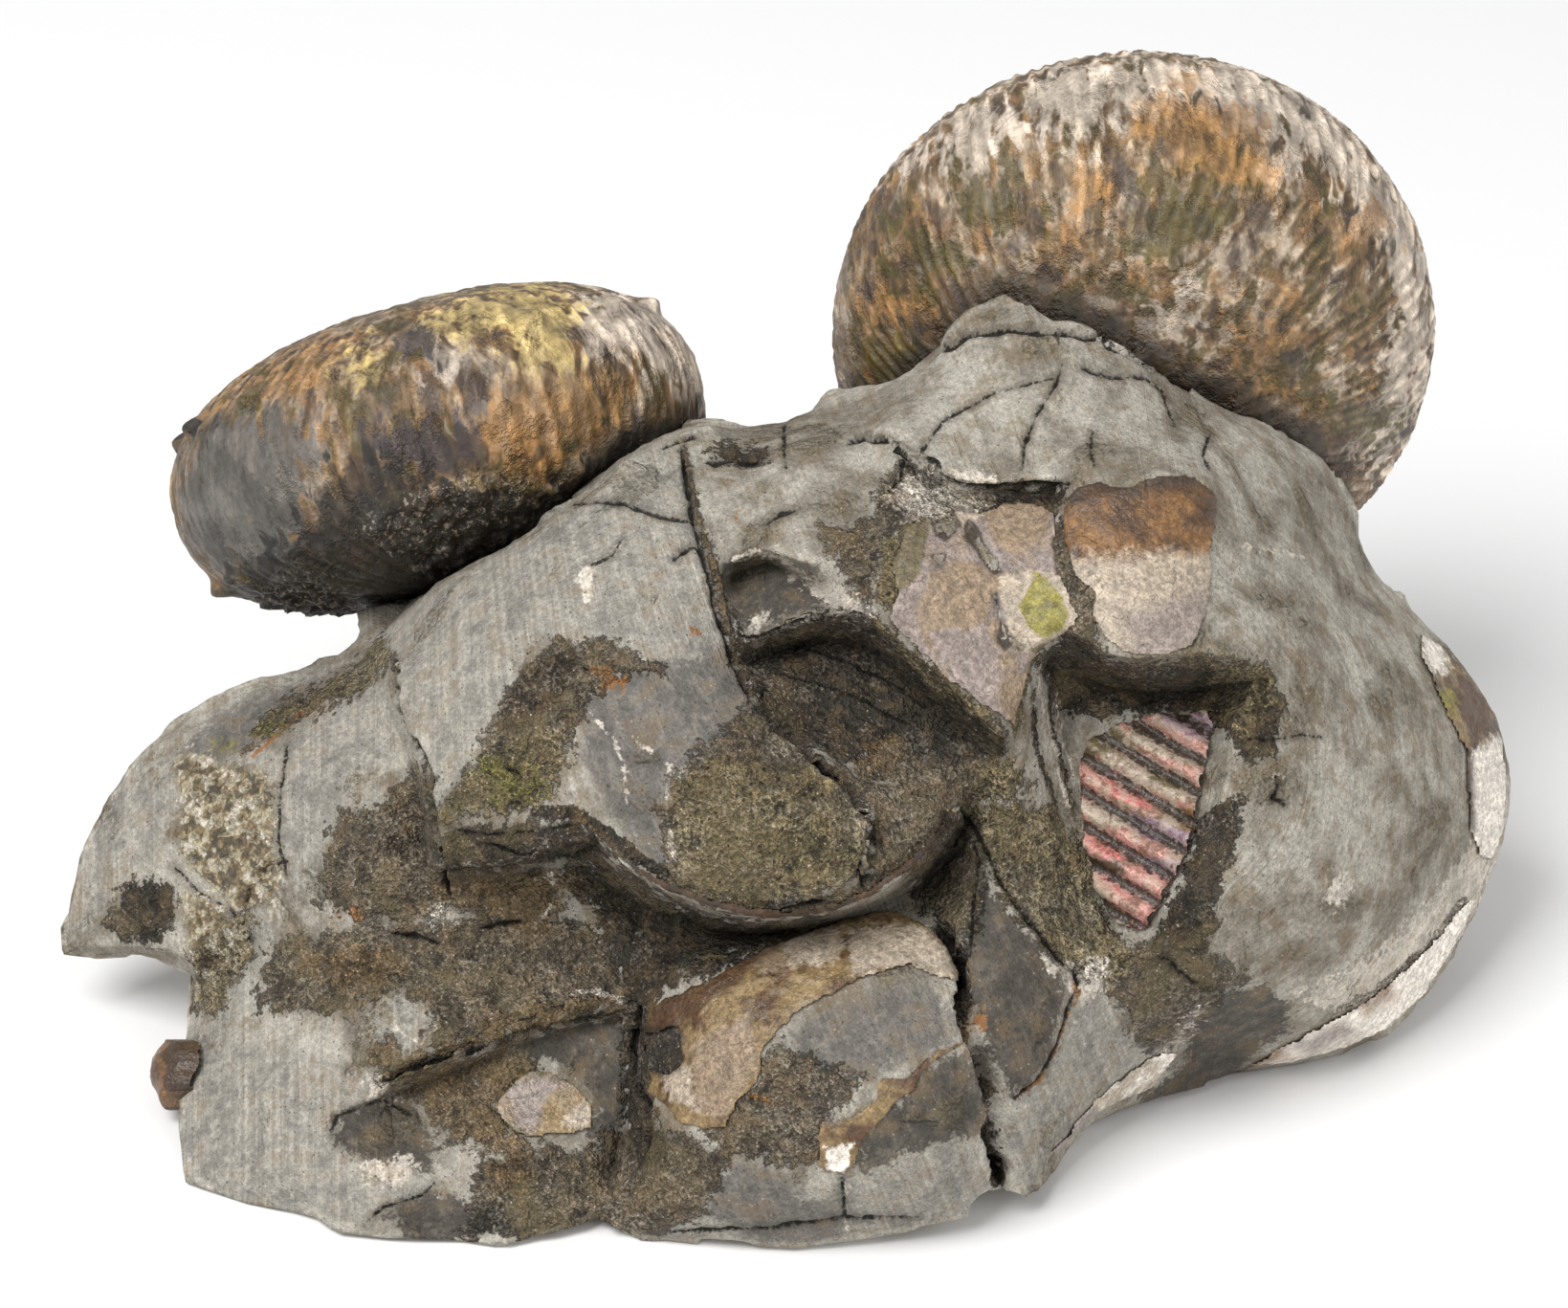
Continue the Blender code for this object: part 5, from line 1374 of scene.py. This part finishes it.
# The outlines of the shell fragments, and how finely each is made on the sheet.
PLATES = {
    "brown_shell": [
        (1113, 522), (1126, 508), (1150, 501), (1168, 508), (1180, 508), (1196, 499),
        (1220, 494), (1250, 498), (1268, 512), (1273, 530), (1271, 550), (1266, 575),
        (1268, 600), (1264, 630), (1254, 665), (1246, 678), (1222, 686), (1198, 688),
        (1170, 682), (1150, 664), (1139, 642), (1143, 622), (1124, 606), (1117, 588),
        (1110, 560), (1109, 540),
    ],
    "mottled_shell": [
        (948, 548), (972, 540), (1000, 532), (1024, 536), (1050, 524), (1080, 524), (1106, 534),
        (1108, 570), (1112, 604), (1128, 640), (1128, 654), (1096, 674), (1080, 690),
        (1072, 720), (1060, 762), (1030, 742), (992, 714), (962, 684), (926, 650), (936, 620),
        (930, 590),
    ],
    "shell_rim": [
        (648, 884), (662, 898), (700, 920), (745, 937), (790, 947), (830, 948), (870, 942),
        (905, 928), (940, 904), (966, 880), (985, 856), (996, 850), (984, 874), (956, 908),
        (910, 938), (870, 952), (830, 960), (790, 960), (745, 950), (700, 934), (662, 912),
    ],
    "tan_shell": [
        (676, 1052), (700, 1040), (745, 1020), (800, 990), (850, 972), (900, 954), (940, 952),
        (968, 966), (990, 990), (1003, 1018), (1000, 1030), (975, 1022), (950, 1012), (910, 1022),
        (870, 1042), (838, 1058), (812, 1082), (800, 1098), (795, 1130), (775, 1150),
        (760, 1180), (736, 1182), (710, 1175), (690, 1152), (676, 1142), (680, 1128),
        (668, 1088), (680, 1086), (676, 1112), (700, 1122), (712, 1108), (708, 1076), (672, 1084),
    ],
    "tan_strip": [
        (858, 1170), (880, 1170), (900, 1158), (916, 1146), (912, 1132), (926, 1124),
        (948, 1124), (962, 1108), (980, 1096), (1000, 1090), (1012, 1084), (1010, 1092),
        (986, 1104), (964, 1124), (958, 1140), (940, 1152), (922, 1172), (906, 1190),
        (900, 1200), (898, 1214), (884, 1228), (878, 1228), (862, 1226), (852, 1218),
        (856, 1204), (850, 1190),
    ],
    "small_round_shell": [
        (514, 1160), (522, 1145), (536, 1128), (556, 1116), (582, 1120), (606, 1134),
        (622, 1156), (620, 1180), (600, 1188), (578, 1188), (556, 1192), (532, 1184),
    ],
    "right_edge_shell": [
        (1480, 658), (1504, 672), (1532, 702), (1558, 734), (1572, 776), (1576, 820),
        (1572, 870), (1560, 900), (1544, 900), (1534, 872), (1530, 820), (1530, 788),
        (1510, 750), (1492, 712), (1482, 690),
    ],
    "lower_edge_shell": [
        (1296, 1116), (1342, 1090), (1380, 1068), (1420, 1048), (1450, 1026), (1480, 998),
        (1510, 966), (1530, 940), (1546, 936), (1524, 984), (1490, 1040), (1448, 1078),
        (1400, 1098), (1350, 1112),
    ],
    "lower_front_shell": [
        (1094, 1206), (1112, 1184), (1140, 1150), (1176, 1118), (1205, 1100), (1236, 1096),
        (1222, 1116), (1204, 1140), (1170, 1152), (1130, 1176), (1106, 1208),
    ],
    "ribbed_shell": [
        (1128, 790), (1140, 770), (1170, 756), (1200, 748), (1230, 744), (1270, 746),
        (1270, 780), (1264, 800), (1258, 840), (1250, 880), (1238, 912), (1216, 950),
        (1206, 972), (1186, 976), (1160, 962), (1150, 940), (1140, 910), (1132, 880),
        (1130, 850), (1126, 820),
    ],
}
PLATE_FINE = 3.0

# What each fragment looks like: its two main tones, the middle of its growth lines, and the
# places where it is of another tone.
PLATE_TONES = {
    "brown_shell": (("brown", "amber"), (119.0, 44.0), {
        "cream": [[(1105, 584), (1150, 583), (1180, 580), (1215, 577), (1262, 573), (1280, 575),
                   (1280, 700), (1105, 700)]],
        "lilac": [[(1175, 645), (1262, 615), (1268, 650), (1235, 684), (1190, 690)]],
        "amber": [[(1230, 550), (1268, 548), (1268, 578), (1236, 578)]],
        "dark": [[(1112, 505), (1150, 498), (1180, 508), (1200, 497), (1255, 494), (1275, 512),
                  (1245, 508), (1200, 512), (1180, 520), (1150, 510), (1118, 530)]],
    }),
    "mottled_shell": (("lilac", "buff"), None, {
        "lilac": [[(925, 562), (968, 560), (970, 605), (955, 640), (975, 690), (955, 690),
                   (925, 650)],
                  [(970, 660), (1030, 650), (1045, 700), (1040, 742), (1000, 722)]],
        "buff": [[(985, 590), (1030, 585), (1036, 640), (1010, 660), (985, 640)],
                 [(1027, 530), (1060, 522), (1098, 526), (1096, 560), (1062, 578), (1040, 570)]],
        "cream": [[(1045, 600), (1125, 596), (1130, 650), (1085, 690), (1050, 660)],
                  [(990, 536), (1030, 532), (1026, 542), (1002, 548)]],
        "olive": [[(925, 540), (972, 536), (970, 566), (960, 600), (940, 618), (920, 640),
                   (903, 640), (915, 590)],
                  [(1074, 680), (1110, 664), (1138, 650), (1140, 664), (1092, 690)]],
        "dark": [[(970, 538), (1000, 534), (1004, 550), (990, 566), (978, 562)],
                 [(972, 578), (990, 577), (988, 597), (978, 594)],
                 [(1010, 540), (1022, 546), (1030, 570), (1042, 582), (1048, 597), (1040, 603),
                  (1028, 592), (1020, 575), (1008, 560)],
                 [(1040, 660), (1050, 664), (1060, 676), (1050, 680), (1042, 672)],
                 [(1098, 560), (1108, 560), (1112, 600), (1104, 600)],
                 [(1036, 620), (1042, 620), (1054, 662), (1072, 676), (1068, 682), (1048, 668)]],
        "moss": [[(1080, 598), (1094, 604), (1106, 618), (1116, 638), (1112, 656), (1094, 668),
                  (1074, 654), (1064, 632), (1075, 618)]],
    }),
    "shell_rim": (("brown", "dark"), None, {}),
    "tan_shell": (("tan", "brown"), (84.0, 121.0), {
        "buff": [[(785, 985), (850, 970), (860, 1000), (800, 1020), (780, 1008)],
                 [(720, 1090), (780, 1060), (790, 1120), (760, 1170), (725, 1160)]],
        # The first cream patch is painted light, lifting the shade that the dome casts on the
        # shell.
        "cream": [[(815, 978), (870, 968), (886, 985), (870, 1006), (825, 1010)],
                  [(885, 968), (960, 965), (1003, 1000), (1003, 1030), (950, 1010), (890, 1018)],
                  [(690, 1120), (720, 1115), (730, 1160), (700, 1150)]],
        "brown": [[(665, 1060), (745, 1012), (800, 995), (760, 1035), (710, 1066), (680, 1090)]],
        "dark": [[(672, 1072), (708, 1072), (716, 1090), (708, 1118), (690, 1126), (672, 1114)],
                 [(700, 1030), (740, 1010), (745, 1016), (705, 1040)]],
    }),
    "tan_strip": (("tan", "brown"), None, {
        "white": [[(862, 1200), (892, 1196), (884, 1226), (864, 1222)]],
    }),
    "small_round_shell": (("buff", "olive"), (57.0, 116.0), {
        "lilac": [[(532, 1140), (560, 1124), (590, 1128), (576, 1150), (560, 1184), (540, 1178)]],
        "tan": [[(556, 1190), (566, 1160), (578, 1142), (590, 1132), (614, 1136), (624, 1160),
                 (620, 1186), (590, 1190)]],
        "cream": [[(590, 1172), (600, 1158), (610, 1150), (620, 1156), (620, 1174), (606, 1184)]],
        "dark": [[(575, 1118), (600, 1126), (590, 1134)]],
    }),
    "right_edge_shell": (("tan", "brown"), (150.0, 60.0), {
        "white": [[(1538, 790), (1560, 770), (1585, 770), (1590, 880), (1550, 905), (1540, 870)],
                  [(1478, 655), (1508, 668), (1514, 700), (1494, 705)]],
        "dark": [[(1526, 795), (1538, 795), (1541, 865), (1530, 865)]],
        "moss": [[(1500, 720), (1516, 720), (1520, 745), (1506, 745)]],
    }),
    "lower_edge_shell": (("white", "white"), None, {
        "amber": [[(1296, 1108), (1340, 1092), (1348, 1104), (1310, 1120)],
                  [(1420, 1050), (1450, 1028), (1456, 1040), (1430, 1060)]],
        "lilac": [[(1350, 1090), (1400, 1068), (1420, 1080), (1370, 1104)]],
    }),
    "lower_front_shell": (("white", "cream"), None, {
        "lilac": [[(1096, 1204), (1140, 1156), (1156, 1160), (1110, 1208)]],
    }),
    "ribbed_shell": (("pink", "buff"), None, {
        "cream": [[(1180, 754), (1264, 790), (1266, 808), (1210, 790), (1178, 772)],
                  [(1149, 776), (1200, 800), (1259, 826), (1259, 846), (1200, 826), (1152, 798)],
                  [(1128, 836), (1180, 852), (1182, 866), (1150, 864), (1132, 850)],
                  [(1144, 946), (1185, 960), (1180, 970), (1150, 962)]],
        "rose": [[(1152, 806), (1200, 828), (1204, 848), (1160, 834)],
                 [(1134, 868), (1190, 886), (1198, 902), (1160, 898), (1136, 884)],
                 [(1150, 914), (1190, 926), (1190, 938), (1156, 930)],
                 [(1180, 960), (1200, 962), (1196, 974), (1180, 972)]],
        "violet": [[(1209, 742), (1275, 744), (1272, 782), (1250, 772), (1218, 756)],
                   [(1180, 846), (1245, 870), (1238, 890), (1200, 878), (1180, 862)],
                   [(1196, 892), (1232, 902), (1226, 918), (1196, 908)]],
        "amber": [[(1232, 842), (1254, 846), (1248, 870), (1232, 862)]],
        "olive": [[(1200, 802), (1240, 814), (1240, 828), (1200, 818)],
                  [(1122, 770), (1170, 758), (1180, 776), (1150, 790), (1126, 790)]],
        "dark": [[(1136, 896), (1170, 900), (1180, 914), (1150, 912), (1138, 906)]],
    }),
    "amber_fragment": (("amber", "brown"), None, {}),
}
AMBER_OUTLINE = [
    (-9.4, 5), (-7.6, 7.2), (-4.4, 8), (-1, 6.4), (0, 3.4), (-3, 1.4), (-6.6, 1.2), (-9, 2.6)
]
AMBER_PEAK = (-5.4, 4.6)
AMBER_PEAK_RISE = 1.5 * MM
AMBER_PEAK_WIDTH = 2.6
AMBER_ORIGIN = (-24.01, 0.0)
AMBER_FINE = 0.35
AMBER_RAGGED = 0.3
AMBER_LIFT = 2.2 * MM
AMBER_THICKNESS = 2.4 * MM
AMBER_CALM = 6
# The ribbed fragment's ribs, the mottled one's gaps and the brown one's scallops.
RIB_SPACING = 30.0
RIB_START = 4.6
RIB_LEAN = math.radians(31)
RIB_RISE = 1.3 * MM
RIB_STEEP = 0.62  # the share of a rib's width that its long side takes
GAP_DEPTH = 0.35 * MM
SCALLOP_CENTRE = (1190, 430)
PLATE_THICKNESS = 1.0 * MM
PLATE_CREASE = math.radians(60)
# How softly one tone of a fragment runs into the next.
TONE_SOFTNESS = {
    "brown_shell": 1.1, "lower_edge_shell": 1.2, "right_edge_shell": 0.6, "tan_shell": 0.5,
    "small_round_shell": 0.5,
}
CRISP = 0.2


def eye_line(right, down):
    """Where a line of sight starts and which way it runs."""
    return EYE, (on_sheet(right, down, 0) - EYE).normalized()


def side_line(deep, high):
    """A line from the part's left, in millimetres along Y and Z."""
    return Vector((-120, deep + AMBER_ORIGIN[0], high + AMBER_ORIGIN[1])) * MM, Vector((1, 0, 0))


def flat_of(places, line):
    """Where each place is on the sheet that its plate was cut from."""
    if line is eye_line:
        return seen(places)[0]
    return places[:, 1:] / MM - np.array(AMBER_ORIGIN)


def cut_sheet(outline, fine, ragged, seed):
    """A flat sheet of triangles, cut to an outline with a ragged edge."""
    ring = np.array(outline, float)
    low, high = ring.min(0) - fine, ring.max(0) + fine
    columns, rows = np.ceil((high - low) / fine).astype(int)
    bm = bmesh.new()
    bmesh.ops.create_grid(bm, x_segments=columns, y_segments=rows, size=0.5)
    bmesh.ops.scale(bm, vec=(*(high - low), 1), verts=bm.verts)
    bmesh.ops.translate(bm, vec=(*((low + high) / 2), 0), verts=bm.verts)
    spots = corners(bm)[:, :2]
    wander = np.array(
        [noise.noise_vector(Vector((*spot, seed * 17.0)) / (fine * 3.5))[:2] for spot in spots]
    )
    depth = within(spots + wander * ragged, outline)
    drop(bm, [vert for vert, deep in zip(bm.verts, depth) if deep < 0])
    bmesh.ops.triangulate(bm, faces=bm.faces[:])
    return bm


def laid(name, tree, line, outline, fine, ragged, lift, relief, thickness, calm=2):
    """A plate of shell that follows the carved stone, raised and given a thickness."""
    bm = cut_sheet(outline, fine, ragged, len(name))
    spots = corners(bm)[:, :2]
    missed = []
    for vert, spot in zip(bm.verts, spots):
        start, way = line(*spot)
        hit = tree.ray_cast(start, way)[0]
        if hit is None:
            missed.append(vert)
        else:
            vert.co = hit
    drop(bm, missed)
    way = line(*np.mean(outline, 0))[1]
    bm.normal_update()
    if sum(face.normal.dot(way) * face.calc_area() for face in bm.faces) > 0:
        bmesh.ops.reverse_faces(bm, faces=bm.faces[:])
    smoothed(bm, bm.verts[:], calm)
    normals = outward(bm) - 0.6 * np.array(way)
    normals /= np.linalg.norm(normals, axis=1)[:, None]
    places = corners(bm)
    flat = flat_of(places, line)
    depth = np.clip(within(flat, outline), 0, None) / fine
    edge = ease(depth, -0.6, 1.6)
    rise = lift * edge + relief(flat, places)
    move(bm, places + normals * rise[:, None])
    under = bm.verts[:]
    bmesh.ops.extrude_face_region(bm, geom=bm.faces[:])
    bmesh.ops.translate(bm, vec=way * thickness, verts=under)
    bmesh.ops.recalc_face_normals(bm, faces=bm.faces[:])
    return bm


def plate_fields(mesh, line, outline, fine, tones):
    """Keeps how far each vertex is inside the outline and each tone, and its place."""
    flat = flat_of(places_of(mesh), line)
    add_field(mesh, "inside", within(flat, outline) / fine)
    add_vectors(mesh, "sheet", np.column_stack((flat / 10, np.zeros(len(flat)))))
    for tone, outlines in tones.items():
        add_field(mesh, tone, within_any(flat, outlines))


def plain_relief(flat, places):
    """Low waves and growth lines."""
    return 0.12 * MM * rumble(places, 2.2, 21, 3)


def peaked(flat, places):
    """A blunt peak, as on the small piece at the left edge."""
    peak = np.exp(-(((flat - AMBER_PEAK) / AMBER_PEAK_WIDTH) ** 2).sum(1))
    return AMBER_PEAK_RISE * peak + plain_relief(flat, places)


def scallops(flat, places):
    """Growth lines in arcs, and short ridges at the upper right."""
    arcs = np.hypot(*(flat - SCALLOP_CENTRE).T)
    lines = 0.05 * MM * np.cos(arcs / 9 + 1.5 * rumble(places, 4, 22))
    ridge = 0.3 * MM * np.clip(np.cos((flat[:, 1] - 520 - 0.15 * flat[:, 0] + 190) / 2.6), 0, 1)
    right = ease(flat[:, 0], 1228, 1250) * (1 - ease(flat[:, 1], 572, 590))
    return lines + ridge * right + 0.1 * MM * rumble(places, 2.0, 23, 3)


def ribs_relief(flat, places):
    """Eight ribs that run down to the right, each with a steep lower side."""
    across = -flat[:, 0] * math.sin(RIB_LEAN) + flat[:, 1] * math.cos(RIB_LEAN)
    across = across + 1.6 * rumble(places, 5, 24)
    phase = ((across - RIB_START) / RIB_SPACING) % 1
    crest = np.where(phase < RIB_STEEP, phase / RIB_STEEP, (1 - phase) / (1 - RIB_STEEP))
    chipped = ease(rumble(places, 1.7, 25, 3), -0.9, -0.35)
    rise = RIB_RISE * ease(crest, 0.05, 0.95) * (0.4 + 0.6 * chipped)
    return rise + 0.08 * MM * rumble(places, 0.9, 26, 2)


def flaky(flat, places):
    """Flakes of uneven height."""
    return 0.16 * MM * chips(places, 1.9, 27) + 0.08 * MM * rumble(places, 1.2, 28, 2)


def scaly(flat, places):
    """Flakes with gaps where the shell is dark."""
    gaps = ease(within_any(flat, PLATE_TONES["mottled_shell"][2]["dark"]), -0.1, 0.25)
    return flaky(flat, places) - GAP_DEPTH * gaps


def plate_finish(name, looks, gloss=0.42, ribbed=False):
    """Worn shell in several tones, with growth lines, chips and dirty edges."""
    (first, second), middle, tones = PLATE_TONES[name]
    f = Finish(name)
    blot = f.noise(f.mm, 0.4, 3.0, 0.66, 0.8)
    fine = f.noise(f.mm, 1.4, 2.0, 0.7)
    grain = f.noise(f.mm, 5.0, 0.0)
    if middle:
        apart = f.vector("SUBTRACT", f.field("sheet", vector=True), (*middle, 0.0))
        bent = f.times_add(blot, 2.5, f.vector("LENGTH", apart))
        growth = f.noise(f.joined(f.times(bent, 2.2), f.parts(
            f.vector("NORMALIZE", apart))[0]), 1.0, 3.0, 0.7)
    else:
        growth = f.noise(f.vector("MULTIPLY", f.mm, (0.7, 1.6, 1.6)), 0.9, 4.0, 0.7)
    wide = f.noise(f.mm, 0.2, 3.0, 0.6)
    tint = f.mix(f.span(wide, 0.4, 0.6), getattr(looks, first), getattr(looks, second))
    ragged = f.value("ADD", f.times_add(blot, 4.4, -2.2), f.times_add(fine, 2.4, -1.2))
    soft = TONE_SOFTNESS.get(name, CRISP)
    for tone in tones:
        inside = f.times_add(ragged, 0.26 + 0.5 * soft, f.field(tone))
        tint = f.mix(f.times(f.span(inside, -soft, soft), 0.9), tint, getattr(looks, tone))
    tint = f.uneven(tint, growth, 0.14, 0.16)
    tint = f.uneven(tint, blot, 0.14, 0.15)
    tint = f.uneven(tint, fine, 0.28)
    tint = f.uneven(tint, grain, 0.16)
    cells = f.node("ShaderNodeTexVoronoi", feature="DISTANCE_TO_EDGE")
    f.feed(cells.inputs["Vector"], f.vector("ADD", f.mm, f.vector(
        "MULTIPLY", f.joined(fine, blot, fine), (1.2, 1.2, 1.2))))
    cells.inputs["Scale"].default_value = 0.3
    seam = f.times(f.span(cells.outputs[0], 0.02, 0.004), f.span(blot, 0.5, 0.58))
    tint = f.mix(f.times(seam, 0.3), tint, looks.dark)
    rim = f.times_add(fine, 2.4, f.field("inside"))
    tint = f.mix(f.span(rim, 2.0, 0.9, 0.0, 0.75), tint, looks.dark)
    if ribbed:
        # Painted shade in the grooves between the ribs.
        low = f.times_add(f.value("SUBTRACT", fine, 0.5), 1.5, f.field("low"))
        tint = f.mix(f.times(f.span(blot, 0.48, 0.56), 0.6), tint, looks.cream)
        tint = f.mix(f.span(blot, 0.46, 0.4, 0.0, 0.5), tint, looks.olive)
        tint = f.mix(f.span(low, 0.5, 0.9, 0.0, 0.95), tint, darker(looks.dark, 0.7))
    height = f.times(fine, 0.28)
    height = f.times_add(growth, 0.14, height)
    height = f.times_add(seam, -0.08, height)
    normal = f.bump(height)
    roughness = f.span(blot, 0.35, 0.65, gloss - 0.06, gloss + 0.16)
    return f.done(tint, roughness, normal, specular=0.5, coat=0.1, coat_roughness=0.3)


class FOSSIL_OT_shells(bpy.types.Operator):
    """Lays the broken plates of shell on the carved stone"""

    bl_idname = "fossil.shells"
    bl_label = "Broken shell"

    def execute(self, context):
        looks = context.scene.fossil_shells
        carved = bpy.data.objects.get("concretion")
        if carved is None:
            raise RuntimeError("The stone is made before the shells that lie on it")
        tree = tree_of(carved.data)
        for name, relief, ragged, gloss, slot, high in (
            ("brown_shell", scallops, 1.5, 0.42, "brown_shell", 0.9),
            ("mottled_shell", scaly, 2.5, 0.46, "brown_shell", 0.7),
            ("shell_rim", plain_relief, 1.0, 0.5, "cream_shell", 0.7),
            ("tan_shell", flaky, 3.0, 0.4, "cream_shell", 0.9),
            ("tan_strip", plain_relief, 2.5, 0.42, "cream_shell", 0.9),
            ("small_round_shell", plain_relief, 1.5, 0.32, "cream_shell", 1.2),
            ("right_edge_shell", plain_relief, 2.0, 0.45, "cream_shell", 0.9),
            ("lower_edge_shell", plain_relief, 2.0, 0.5, "cream_shell", 0.7),
            ("lower_front_shell", plain_relief, 2.0, 0.5, "cream_shell", 0.6),
            ("ribbed_shell", ribs_relief, 1.5, 0.34, "pink_shell", 0.8),
        ):
            outline = PLATES[name]
            lift = high * looks.thickness
            bm = laid(
                name, tree, eye_line, outline, PLATE_FINE, ragged, lift, relief, PLATE_THICKNESS
            )
            mesh = mesh_from(bm, name + "_plate", PLATE_CREASE)
            plate_fields(mesh, eye_line, outline, PLATE_FINE, PLATE_TONES[name][2])
            if name == "ribbed_shell":
                self.add_low(mesh)
            finish = plate_finish(name, looks, gloss, name == "ribbed_shell")
            add_piece(name + "_plate", mesh, finish, slot, name)
        bm = laid(
            "amber", tree, side_line, AMBER_OUTLINE, AMBER_FINE, AMBER_RAGGED, AMBER_LIFT, peaked,
            AMBER_THICKNESS, AMBER_CALM
        )
        mesh = mesh_from(bm, "amber_plate", PLATE_CREASE)
        plate_fields(mesh, side_line, AMBER_OUTLINE, AMBER_FINE, {})
        add_piece("amber_plate", mesh, plate_finish("amber_fragment", looks, 0.35),
                  "amber_shell", "amber_fragment")
        return {"FINISHED"}

    @staticmethod
    def add_low(mesh):
        """Keeps how low between two ribs each vertex is."""
        places = places_of(mesh)
        high = ribs_relief(seen(places)[0], places) / RIB_RISE
        add_field(mesh, "low", 1 - np.clip(high, 0, 1))


# The stage, in metres: lights as place and size.
FLOOR_SIZE = 3
FLOOR_GAP = 0.2 * MM
LIGHT_AIM = Vector((0, 0, 0.05))
MAIN_LIGHT = ((-0.45, -0.5, 1.0), 0.6)
FILL_LIGHT = ((0.9, -0.7, 0.6), 0.9)


class FOSSIL_OT_stage(bpy.types.Operator):
    """The pale floor, the soft light and the camera"""

    bl_idname = "fossil.stage"
    bl_label = "Stage"

    def execute(self, context):
        looks = context.scene.fossil_stage
        bm = bmesh.new()
        bmesh.ops.create_grid(bm, x_segments=1, y_segments=1, size=FLOOR_SIZE)
        mesh = bpy.data.meshes.new("floor")
        bm.to_mesh(mesh)
        bm.free()
        paint = bpy.data.materials.new("floor")
        paint.use_nodes = True
        shader = paint.node_tree.nodes["Principled BSDF"]
        shader.inputs["Base Color"].default_value = (*looks.floor, 1)
        shader.inputs["Roughness"].default_value = 0.9
        mesh.materials.append(paint)
        floor = bpy.data.objects.new("floor", mesh)
        floor.location.z = -FLOOR_GAP
        context.scene.collection.objects.link(floor)
        self.add_light("main_light", *MAIN_LIGHT, looks.key)
        self.add_light("fill_light", *FILL_LIGHT, looks.fill)
        world = bpy.data.worlds.new("surroundings")
        world.use_nodes = True
        sky = world.node_tree.nodes["Background"]
        sky.inputs["Color"].default_value = (1, 1, 1, 1)
        sky.inputs["Strength"].default_value = looks.sky
        context.scene.world = world
        camera = bpy.data.objects.new("camera", bpy.data.cameras.new("camera"))
        camera.data.sensor_width = SENSOR
        camera.data.lens = SENSOR * EYE_DISTANCE / (SHEET_WIDTH * STEP)
        camera.data.clip_start = 0.01
        camera.data.clip_end = 20
        camera.matrix_world = SHEET @ Matrix.Translation((0, 0, EYE_DISTANCE))
        context.scene.collection.objects.link(camera)
        context.scene.camera = camera
        context.scene.view_settings.view_transform = "Standard"
        return {"FINISHED"}

    @staticmethod
    def add_light(name, place, size, power):
        """A square soft light that looks at the specimen."""
        light = bpy.data.lights.new(name, "AREA")
        light.size = size
        light.energy = power
        lamp = bpy.data.objects.new(name, light)
        turn = (LIGHT_AIM - Vector(place)).to_track_quat("-Z", "Y")
        lamp.matrix_world = Matrix.Translation(place) @ turn.to_matrix().to_4x4()
        bpy.context.scene.collection.objects.link(lamp)


class FOSSIL_PT_panel(bpy.types.Panel):
    """Lists the pieces and their settings"""

    bl_idname = "FOSSIL_PT_panel"
    bl_label = "Ammonite Cluster"
    bl_space_type = "VIEW_3D"
    bl_region_type = "UI"
    bl_category = "Ammonites"

    def draw(self, context):
        for group, operator in zip(GROUPS, OPERATORS):
            box = self.layout.box()
            box.operator(operator.bl_idname)
            settings = getattr(context.scene, group)
            for name in GROUPS[group].__annotations__:
                box.prop(settings, name)


OPERATORS = (FOSSIL_OT_stone, FOSSIL_OT_ammonites, FOSSIL_OT_shells, FOSSIL_OT_stage)
CLASSES = (*GROUPS.values(), *OPERATORS, FOSSIL_PT_panel)


def register():
    """Makes the settings, the operators and the panel known to Blender."""
    for kind in CLASSES:
        bpy.utils.register_class(kind)
    for group, kind in GROUPS.items():
        setattr(bpy.types.Scene, group, PointerProperty(type=kind))


def unregister():
    """Takes them out again."""
    for group in GROUPS:
        delattr(bpy.types.Scene, group)
    for kind in reversed(CLASSES):
        bpy.utils.unregister_class(kind)


def main():
    """Dresses the whole cluster."""
    register()
    for operator in OPERATORS:
        family, name = operator.bl_idname.split(".")
        getattr(getattr(bpy.ops, family), name)()


if __name__ == "__main__":
    main()
